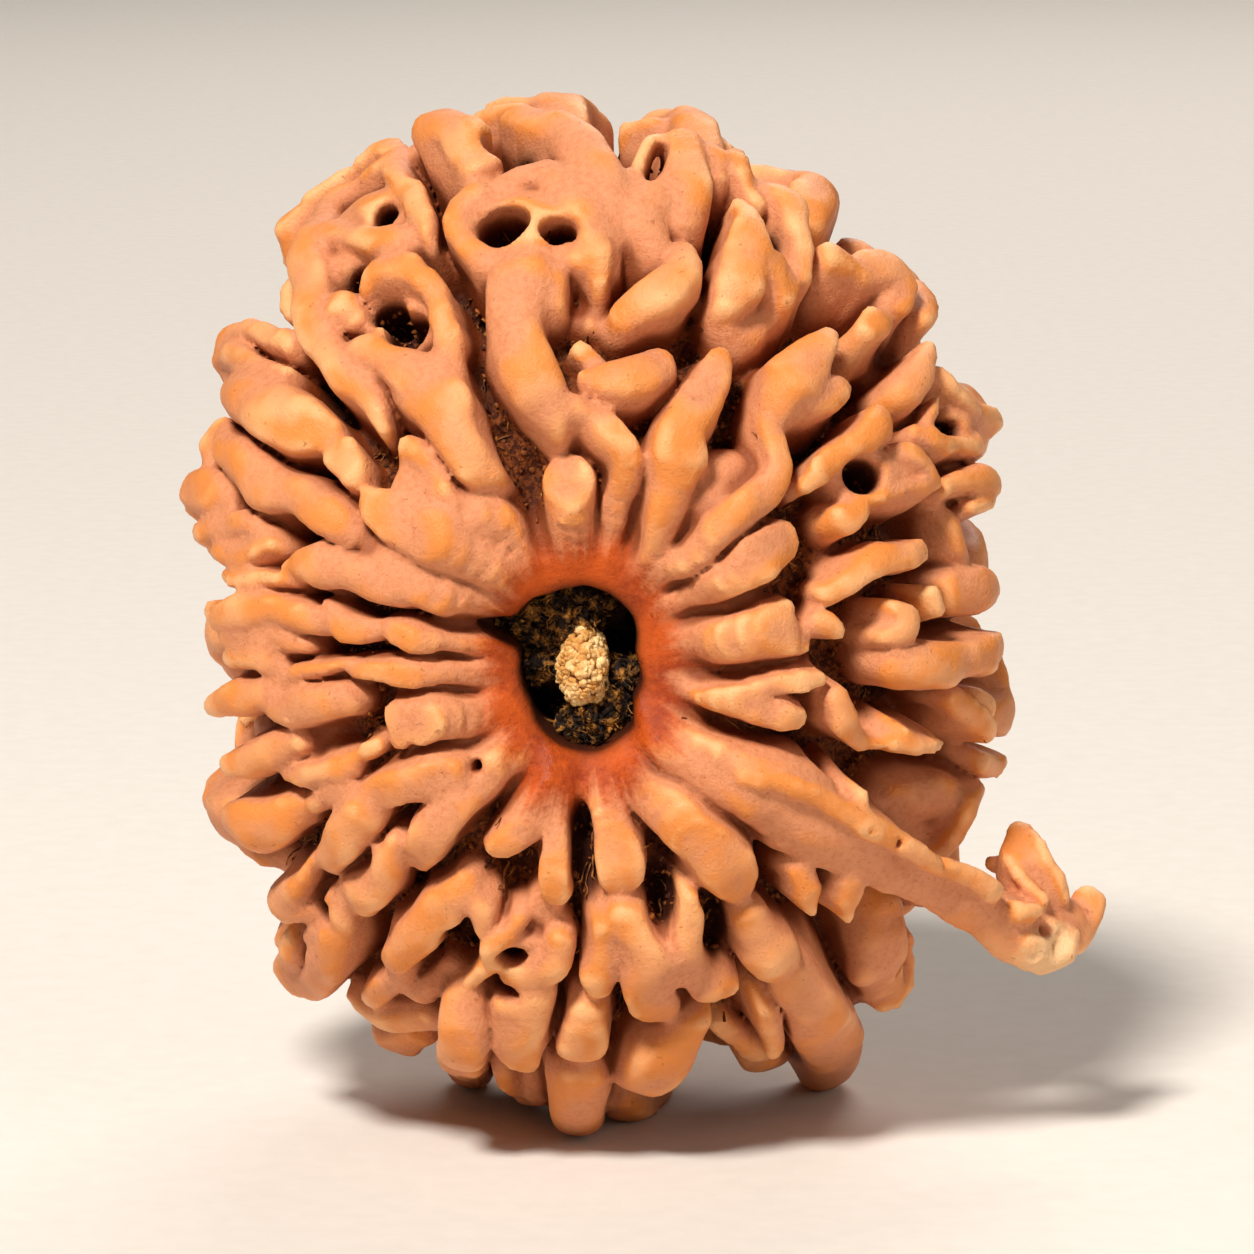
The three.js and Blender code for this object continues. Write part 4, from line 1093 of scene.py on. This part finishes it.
def scatterTree(name, inputs, makeShape, along=None):
    tree = bpy.data.node_groups.new(name, "GeometryNodeTree")
    face = tree.interface
    face.new_socket("Geometry", in_out="INPUT", socket_type="NodeSocketGeometry")
    for title, kind in inputs.items():
        face.new_socket(title, in_out="INPUT", socket_type="NodeSocket" + kind)
    face.new_socket("Geometry", in_out="OUTPUT", socket_type="NodeSocketGeometry")
    sheet = Sheet(tree)
    entry = tree.nodes.new("NodeGroupInput")
    given = {socket.name: Wire(sheet, socket) for socket in entry.outputs if socket.name}
    share = sheet.node(
        "GeometryNodeInputNamedAttribute", {"data_type": "FLOAT"}, {"Name": "scatter"})
    spots = tree.nodes.new("GeometryNodeDistributePointsOnFaces")
    for title, value in (
            ("Mesh", given["Geometry"]), ("Density", given["Density"] * share),
            ("Seed", given["Seed"])):
        tree.links.new(value.socket, spots.inputs[title])
    points, rotation = Wire(sheet, spots.outputs["Points"]), Wire(sheet, spots.outputs["Rotation"])
    place = sheet.node("GeometryNodeInputPosition")

    def randomVector(least, most, offset):
        return sheet.node(
            "FunctionNodeRandomValue", {"data_type": "FLOAT_VECTOR"},
            {0: (least,) * 3, 1: (most,) * 3, "Seed": given["Seed"] + offset})

    if along:
        outwards = sheet.vectorMaths("NORMALIZE", sheet.vectorMaths("SUBTRACT", place, along))
        stray = randomVector(-scattering["stray"], scattering["stray"], 11)
        rotation = sheet.node(
            "FunctionNodeAlignRotationToVector", {"axis": "X", "pivot_axis": "Z"},
            {"Rotation": rotation, "Vector": sheet.vectorMaths("ADD", outwards, stray)})
    else:
        rotation = sheet.node(
            "FunctionNodeEulerToRotation", {}, {0: randomVector(-math.pi, math.pi, 12)})
    laid = sheet.node(
        "GeometryNodeInstanceOnPoints", {},
        {"Points": points, "Instance": makeShape(sheet, given), "Rotation": rotation,
         "Scale": randomVector(scattering["smallest"], scattering["largest"], 13)})
    realised = sheet.node("GeometryNodeRealizeInstances", {}, {0: laid})
    waves = sheet.node(
        "ShaderNodeTexNoise", {}, {"Vector": place, "Scale": given["Waves"], "Detail": 1.0}, "Color")
    push = sheet.vectorMaths("SUBTRACT", waves, (0.5, 0.5, 0.5))
    bent = sheet.node(
        "GeometryNodeSetPosition", {},
        {"Geometry": realised, "Offset": sheet.scaled(push, given["Bend"])})
    finished = sheet.node(
        "GeometryNodeSetMaterial", {}, {"Geometry": bent, "Material": given["Material"]})
    leave = tree.nodes.new("NodeGroupOutput")
    tree.links.new(finished.socket, leave.inputs["Geometry"])
    return tree


def crumbShape(sheet, given):
    return sheet.node(
        "GeometryNodeMeshIcoSphere", {}, {"Radius": given["Size"], "Subdivisions": 1})


def grainShape(sheet, given):
    return sheet.node(
        "GeometryNodeMeshIcoSphere", {}, {"Radius": given["Size"], "Subdivisions": 2})


def fibreShape(sheet, given):
    half = sheet.node("ShaderNodeCombineXYZ", {}, {"X": given["Length"] * 0.5})
    line = sheet.node(
        "GeometryNodeCurvePrimitiveLine", {},
        {"Start": sheet.scaled(half, -1.0), "End": half})
    fine = sheet.node("GeometryNodeResampleCurve", {}, {"Curve": line, "Count": 8})
    ring = sheet.node(
        "GeometryNodeCurvePrimitiveCircle", {}, {"Resolution": 3, "Radius": given["Size"]})
    return sheet.node(
        "GeometryNodeCurveToMesh", {}, {"Curve": fine, "Profile Curve": ring, "Fill Caps": True})


scatterInputs = {
    "Density": "Float", "Size": "Float", "Waves": "Float", "Bend": "Float", "Seed": "Int",
    "Material": "Material",
}
crumbTree = scatterTree("Crumbs", scatterInputs, crumbShape)
grainTree = scatterTree("Grains", scatterInputs, grainShape)
fibreTree = scatterTree(
    "Fibres", {**scatterInputs, "Length": "Float"}, fibreShape,
    along=(stone["canalX"] * metre, 0, stone["canalZ"] * metre))


def scattered(name, base, tree, material, **values):
    piece = bpy.data.objects.new(name, base.copy())
    bpy.context.collection.objects.link(piece)
    modifier = piece.modifiers.new("scatter", "NODES")
    modifier.node_group = tree
    for item in tree.interface.items_tree:
        if item.in_out == "INPUT" and item.name in values:
            modifier[item.identifier] = values[item.name]
        elif item.in_out == "INPUT" and item.name == "Material":
            modifier[item.identifier] = material
    evaluated(piece)
    piece.data.shade_smooth()
    print(name, len(piece.data.polygons), "faces")
    return piece


def newMaterial(name):
    material = bpy.data.materials.new(name)
    material.use_nodes = True
    tree = material.node_tree
    shader = tree.nodes["Principled BSDF"]
    return material, Sheet(tree), shader


def feed(sheet, shader, **values):
    for name, value in values.items():
        socket = shader.inputs[name.replace("_", " ")]
        if isinstance(value, Wire):
            sheet.tree.links.new(value.socket, socket)
        else:
            socket.default_value = value


def bumped(sheet, height, distance, strength):
    return sheet.node(
        "ShaderNodeBump", {}, {"Height": height, "Distance": distance, "Strength": strength},
        "Normal")


# shade and deep are painted shade colours; shade also colours the fine specks, deep also the dried
# pulp on the groove floors.
stoneLook = {
    "crest": "#db843f",
    "crestPale": "#e39a63",
    "wall": "#c67a50",
    "wallPale": "#d28a60",
    "paintedRimHighlight": "#efb27a",
    "shade": "#74310f",
    "groove": "#84431a",
    "deep": "#3a1506",
    "collar": "#8a2a02",
    "collarPale": "#bf4c04",
    "trunkEnd": "#e4b483",
}
polish = {"faceRoughness": 0.58, "crestRoughness": 0.42, "specular": 0.2, "bump": 0.00009}

# Where each finish begins and is full, on the value that it follows
bands = {
    "crest": (0.46, 0.34),
    "paleCrest": (0.42, 0.62),
    "dusty": (0.3, 0.6),
    "paintedRimHighlight": (0.38, 0.27),
    "paintedWallFootShade": (0.5, 2.4),
    "paintedCreaseShade": (0.53, 0.68),
    "hollow": (0.54, 0.72),
    "fibrous": (0.4, 0.6),
    "floor": (0.2, 0.6),
    "deep": (0.68, 0.9),
    "paleCollar": (0.35, 0.6),
    "collar": (3.9, 2.7),
    "broken": (1.5, 0.7),
    "openFace": (0.5, 0.42),
    "specks": (0.64, 0.72),
}
cover = {"paintedRimHighlight": 0.7, "paintedWallFootShade": 0.8, "paintedCreaseShade": 0.8, "collar": 0.94, "specks": 0.45}
noises = {  # size per millimetre, detail, roughness
    "broad": (0.45, 3.0),
    "speckle": (4.5, 4.0, 0.7),
    "grit": (9.0, 2.0, 0.7),
    "specks": (3.2, 3.0, 0.75),
}


def makeStoneMaterial():
    material, sheet, shader = newMaterial("polished woody stone")
    look = {name: colour(code) for name, code in stoneLook.items()}
    place = sheet.node("ShaderNodeTexCoord", out="Object")
    inMillimetres = sheet.scaled(place, 1 / metre)

    def band(name, value):
        return sheet.ease(value, *bands[name])

    def uneven(name, amount):
        return (grains[name] - 0.5) * amount

    grains = {name: sheet.noise(inMillimetres, *sizes) for name, sizes in noises.items()}
    broad, speckle, grit = grains["broad"], grains["speckle"], grains["grit"]
    below, edge, near, wide, floor = (
        sheet.attribute(name)
        for name in ("below", "edgeHollow", "nearHollow", "wideHollow", "floor"))

    # crests, faces and walls
    crest = band("crest", edge * 0.55 + near * 0.45 + uneven("speckle", 0.03) + uneven("broad", 0.14))
    paleCrest = sheet.mixed(band("paleCrest", broad), look["crest"], look["crestPale"])
    dusty = sheet.mixed(band("dusty", speckle), look["wall"], look["wallPale"])
    shade = sheet.mixed(crest, dusty, paleCrest)
    # A pale rim on the sharpest convex edges is a painted highlight.
    shade = sheet.mixed(band("paintedRimHighlight", edge) * cover["paintedRimHighlight"], shade, look["paintedRimHighlight"])
    # Walls get painted shade the further they lie below their crest.
    foot = band("paintedWallFootShade", below + uneven("broad", 1.0))
    shade = sheet.mixed(foot * cover["paintedWallFootShade"], shade, look["shade"])
    # Narrow creases between lobes are darkened with painted shade.
    paintedCreaseShade = band("paintedCreaseShade", near + uneven("speckle", 0.08))
    shade = sheet.mixed(paintedCreaseShade * cover["paintedCreaseShade"], shade, look["shade"])

    # grooves and holes
    # Wide hollows are darkened with painted shade.
    shade = sheet.mixed(band("hollow", wide + uneven("speckle", 0.1)), shade, look["shade"])
    fibrous = sheet.mixed(band("fibrous", speckle), look["deep"], look["groove"])
    shade = sheet.mixed(band("floor", floor + uneven("speckle", 0.5)), shade, fibrous)
    # Deep holes are painted dark inside: painted shade and dried pulp.
    shade = sheet.mixed(sheet.attribute("pit"), shade, look["deep"])
    # The deepest recesses get painted shade, near black.
    shade = sheet.mixed(band("deep", near * 0.5 + wide * 0.5), shade, look["deep"])

    # the collar, whose edge runs out in rays
    axis = (stone["canalX"], 0, stone["canalZ"])
    fromCanal = sheet.vectorMaths(
        "MULTIPLY", sheet.vectorMaths("SUBTRACT", inMillimetres, axis),
        (1, 0, 1 / stone["canalHeightRatio"]))
    direction = sheet.vectorMaths("NORMALIZE", fromCanal)
    grains["rays"] = sheet.noise(sheet.scaled(direction, 5.0), 1.0, 3.0, 0.6)
    canalRadius = sheet.vectorMaths("LENGTH", fromCanal, out="Value")
    red = sheet.mixed(
        band("paleCollar", speckle * 0.3 + broad * 0.7), look["collar"], look["collarPale"])
    reach = canalRadius + uneven("rays", 3.0) + uneven("speckle", 0.6)
    shade = sheet.mixed(band("collar", reach) * cover["collar"], shade, red)
    # The canal's inner wall is painted dark as shade.
    shade = sheet.mixed(sheet.attribute("paintedCanalShade"), shade, look["deep"])

    # the trunk's broken end, and fine specks all over
    endPoint = pointOnSight((*trunkEnd["pixel"], 0, trunkEnd["y"] + 0.4))
    toEnd = sheet.vectorMaths("SUBTRACT", inMillimetres, tuple(endPoint))
    fromEnd = sheet.vectorMaths("LENGTH", toEnd, out="Value")
    broken = band("broken", fromEnd + uneven("speckle", 1.6))
    shade = sheet.mixed(broken * band("openFace", near), shade, look["trunkEnd"])
    shade = sheet.mixed(band("specks", grains["specks"]) * cover["specks"], shade, look["shade"])

    polished = sheet.ease(crest, 0.0, 1.0, polish["faceRoughness"], polish["crestRoughness"])
    rough = polished + floor * 0.3 + uneven("grit", 0.2)
    texture = grit * 0.4 + speckle + floor * grit * 1.6
    feed(sheet, shader, Base_Color=shade, Roughness=rough, Specular_IOR_Level=polish["specular"],
         Normal=bumped(sheet, texture, polish["bump"], 0.5))
    return material


def makeCrumbMaterial(name, dark, light, roughness=0.8, lightFrom=0.4):
    material, sheet, shader = newMaterial(name)
    place = sheet.node("ShaderNodeTexCoord", out="Object")
    inMillimetres = sheet.scaled(place, 1 / metre)
    patches = sheet.noise(inMillimetres, 2.2, 3.0, 0.6)
    grit = sheet.noise(inMillimetres, 14.0, 2.0)
    shade = sheet.mixed(
        sheet.ease(patches, lightFrom, lightFrom + 0.24), colour(dark), colour(light))
    feed(sheet, shader, Base_Color=shade, Roughness=roughness, Specular_IOR_Level=0.25,
         Normal=bumped(sheet, grit, 0.00005, 0.6))
    return material


stoneMaterial = makeStoneMaterial()
crumbMaterial = makeCrumbMaterial("dried pulp crumbs", "#3a1506", "#9c561f")
fibreMaterial = makeCrumbMaterial("dry fibres", "#4a1f08", "#a9692c", 0.65)
# The pulp ring is near black: dark dried pulp, with painted shade deep in the mouth.
shadedPulpMaterial = makeCrumbMaterial("dark dried pulp in painted shade", "#100502", "#3d1d0b")
pulpCrumbMaterial = makeCrumbMaterial("dark pulp crumbs", "#1e0e05", "#b0742e", lightFrom=0.44)
pithMaterial = makeCrumbMaterial("spongy pith", "#cc9048", "#f2cb8c", 0.75)
# The pith core is a darker copy of the pith, painted shade between its grains.
shadedPithCoreMaterial = makeCrumbMaterial("shaded pith", "#6a3d16", "#9c6a34")


def setScatter(piece, share):
    layer = piece.data.attributes.get("scatter")
    if not layer:
        layer = piece.data.attributes.new("scatter", "FLOAT", "POINT")
    layer.data.foreach_set("value", np.asarray(share, np.float32))


def vertexValues(mesh, name):
    values = np.empty(len(mesh.vertices), np.float32)
    mesh.attributes[name].data.foreach_get("value", values)
    return values


beadStone = makeStone()
beadStone.data.materials.clear()
beadStone.data.materials.append(stoneMaterial)

# Crumbs and fibres of dried pulp lie on the floor of the grooves, and crumbs in the holes too.
# Their sizes are in metres and their number is for each square metre.
grooves = {
    "crumbs": {"Density": 5.0e6, "Size": 0.000105, "Waves": 3500.0, "Bend": 0.0003, "Seed": 3},
    "fibres": {
        "Density": 2.6e6, "Size": 0.000035, "Length": 0.0013, "Waves": 1400.0, "Bend": 0.0009,
        "Seed": 5},
    "hollow": (0.5, 0.62),
    "pit": (0.55, 0.95),
}
floorShare = vertexValues(beadStone.data, "floor")
wideHollow = vertexValues(beadStone.data, "wideHollow")
onFloor = floorShare * smooth(wideHollow, *grooves["hollow"])
inPit = smooth(vertexValues(beadStone.data, "pit"), *grooves["pit"])
setScatter(beadStone, np.maximum(onFloor, inPit))
grooveCrumbs = scattered(
    "groove_crumbs", beadStone.data, crumbTree, crumbMaterial, **grooves["crumbs"])
setScatter(beadStone, onFloor)
grooveFibres = scattered(
    "groove_fibres", beadStone.data, fibreTree, fibreMaterial, **grooves["fibres"])
beadStone.data.attributes.remove(beadStone.data.attributes["scatter"])

# The pith strand, half size and y along the canal, with grains all over it
pith = {
    "profile": [
        (0.1, -10.2), (0.4, -10.05), (0.64, -9.8), (0.76, -9.35), (0.74, -8.8), (0.66, -7.8),
        (0.62, -6), (0.5, -3.5), (0.2, -2.7)],
    "heightRatio": 1.66,
    "drop": 0.2,
    "sides": 40,
    "rows": 36,
    "swell": 0.06,
    "grainsFrom": (-7.0, -8.6),
    "grains": {"Density": 4.5e7, "Size": 0.00013, "Waves": 6000.0, "Bend": 0.0001, "Seed": 8},
}


def turnedPiece(name, rows, sides, place, closed=False):
    places, faces = [], []
    for i in range(rows):
        for j in range(sides):
            x, y, z = place(i, 2 * math.pi * j / sides)
            places.append((stone["canalX"] + x, y, stone["canalZ"] + z))
    for i in range(rows if closed else rows - 1):
        here, there = i * sides, (i + 1) % rows * sides
        for j in range(sides):
            following = (j + 1) % sides
            faces.append((here + following, here + j, there + j, there + following))
    if not closed:
        faces.append(tuple(range(sides)))
        faces.append(tuple((rows - 1) * sides + j for j in reversed(range(sides))))
    return plainMesh(name, places, faces)


def joined(name, pieces):
    bpy.ops.object.select_all(action="DESELECT")
    for piece in pieces:
        piece.select_set(True)
    bpy.context.view_layer.objects.active = pieces[0]
    bpy.ops.object.join()
    pieces[0].name = pieces[0].data.name = name
    return pieces[0]


def sizeAt(profile, y):
    return np.interp(y, [point[1] for point in profile], [point[0] for point in profile])


def makePith():
    depths = [point[1] for point in pith["profile"]]
    rows = np.linspace(depths[0], depths[-1], pith["rows"])

    def place(i, angle):
        y = rows[i]
        waves = math.sin(3 * angle + 0.9 * i) + math.cos(5 * angle - 0.7 * i)
        half = sizeAt(pith["profile"], y) * (1 + pith["swell"] * waves)
        return (
            half * math.cos(angle), y, half * pith["heightRatio"] * math.sin(angle) - pith["drop"])

    core = turnedPiece("pith_core", len(rows), pith["sides"], place)
    core.data.materials.append(shadedPithCoreMaterial)
    alongCanal = np.array([vertex.co.y for vertex in core.data.vertices]) / metre
    setScatter(core, smooth(alongCanal, *pith["grainsFrom"]))
    grains = scattered("pith_grains", core.data, grainTree, pithMaterial, **pith["grains"])
    return joined("pith_strand_grains", (core, grains))


pithPiece = makePith()

# The pulp has shrunk from the wall at the right and the lower left.
pulp = {
    "front": -9.2,
    "back": -6.4,
    "shrunk": 1.9,
    "steps": 10,
    "sides": 96,
    "lumps": 0.22,
    "fromWall": 0.15,
    "fromStrand": 0.1,
    "crumbsFrom": (-7.4, -8.6),
    "crumbs": {"Density": 4.5e7, "Size": 0.00015, "Waves": 3500.0, "Bend": 0.0003, "Seed": 21},
    "fibres": {
        "Density": 2.5e7, "Size": 0.00004, "Length": 0.0010, "Waves": 1500.0, "Bend": 0.0009,
        "Seed": 22},
}


def pulpLeft(angle):
    return smooth(np.maximum(np.cos(angle - 2.3), 0.95 * np.cos(angle + 1.0)), 0.1, 0.75)


def makePulp():
    steps = pulp["steps"]

    def place(i, angle):
        outer = i < steps
        share = (i if outer else 2 * steps - 1 - i) / (steps - 1)
        lumps = (math.sin(3 * angle + 1) + math.sin(5 * angle) + math.cos(2 * angle)
                 + 0.5 * math.sin(11 * angle + 2 * i) + 0.4 * math.cos(17 * angle))
        front = pulp["front"] + pulp["shrunk"] * (1 - pulpLeft(angle)) + pulp["lumps"] * lumps
        y = front + (pulp["back"] - front) * share
        wall = sizeAt(canalProfile[2:-2], y) * widening(angle, y) - pulp["fromWall"]
        strand = sizeAt(pith["profile"], y) + pulp["fromStrand"]
        size = wall if outer else strand
        ratio = stone["canalHeightRatio"] if outer else pith["heightRatio"]
        drop = 0 if outer else pith["drop"]
        return size * math.cos(angle), y, size * ratio * math.sin(angle) - drop

    ring = turnedPiece("pulp_ring", 2 * steps, pulp["sides"], place, closed=True)
    ring.data.materials.append(shadedPulpMaterial)
    points = np.array([vertex.co for vertex in ring.data.vertices]) / metre
    angle = np.arctan2(points[:, 2] - stone["canalZ"], points[:, 0] - stone["canalX"])
    inFront = smooth(points[:, 1], *pulp["crumbsFrom"])
    setScatter(ring, inFront * (0.15 + 0.85 * pulpLeft(angle)))
    crumbs = scattered("pulp_crumbs", ring.data, crumbTree, pulpCrumbMaterial, **pulp["crumbs"])
    fibres = scattered("pulp_fibres", ring.data, fibreTree, pulpCrumbMaterial, **pulp["fibres"])
    return joined("dried_pulp_crumbs", (ring, crumbs, fibres))


pulpPiece = makePulp()
print("pith and pulp made")

for piece, node, finish in (
        (beadStone, "bead_stone", "woody_stone"), (pithPiece, "pith_strand", "pith"),
        (pulpPiece, "dried_pulp", "dried_pulp")):
    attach(piece, "root")
    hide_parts(node)
for piece in (grooveCrumbs, grooveFibres):
    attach(piece, "root")


# A pale floor
def makeStage():
    mesh = bpy.data.meshes.new("floor")
    half = 3.0
    mesh.from_pydata(
        [(-half, -half, 0), (half, -half, 0), (half, half, 0), (-half, half, 0)], [], [(0, 1, 2, 3)])
    floor = bpy.data.objects.new("floor", mesh)
    bpy.context.collection.objects.link(floor)
    material, sheet, shader = newMaterial("pale paper")
    place = sheet.node("ShaderNodeTexCoord", out="Object")
    tooth = sheet.noise(place, 900.0, 3.0)
    shade = sheet.mixed(tooth, colour("#d8d0c6"), colour("#e2dbd2"))
    feed(sheet, shader, Base_Color=shade, Roughness=0.9)
    mesh.materials.append(material)


# Soft studio lights: place and size in metres, power in watts
lights = {
    "key": {"place": (-0.16, -0.34, 0.46), "size": 0.12, "power": 4.7, "tint": (1.0, 0.97, 0.93)},
    "fill": {"place": (0.5, -0.3, 0.25), "size": 0.4, "power": 0.6, "tint": (1.0, 0.96, 0.92)},
    "rim": {"place": (0.1, 0.45, 0.4), "size": 0.4, "power": 1.6, "tint": (1.0, 0.97, 0.94)},
}
room = {"colour": "#cfc8c0", "strength": 0.17, "lightsAimAt": (0, 0, 0.017)}


def makeLight(name, place, size, power, tint):
    data = bpy.data.lights.new(name, "AREA")
    data.shape = "DISK"
    data.size = size
    data.energy = power
    data.color = tint
    light = bpy.data.objects.new(name, data)
    bpy.context.collection.objects.link(light)
    light.location = place
    aim = Vector(room["lightsAimAt"]) - Vector(place)
    light.rotation_euler = aim.to_track_quat("-Z", "Y").to_euler()


def makeRoom():
    world = bpy.data.worlds.new("soft room")
    world.use_nodes = True
    background = world.node_tree.nodes["Background"]
    background.inputs["Color"].default_value = colour(room["colour"])
    background.inputs["Strength"].default_value = room["strength"]
    bpy.context.scene.world = world


makeStage()
for lightName, settings in lights.items():
    makeLight(lightName, **settings)
makeRoom()
print("floor and lights made")
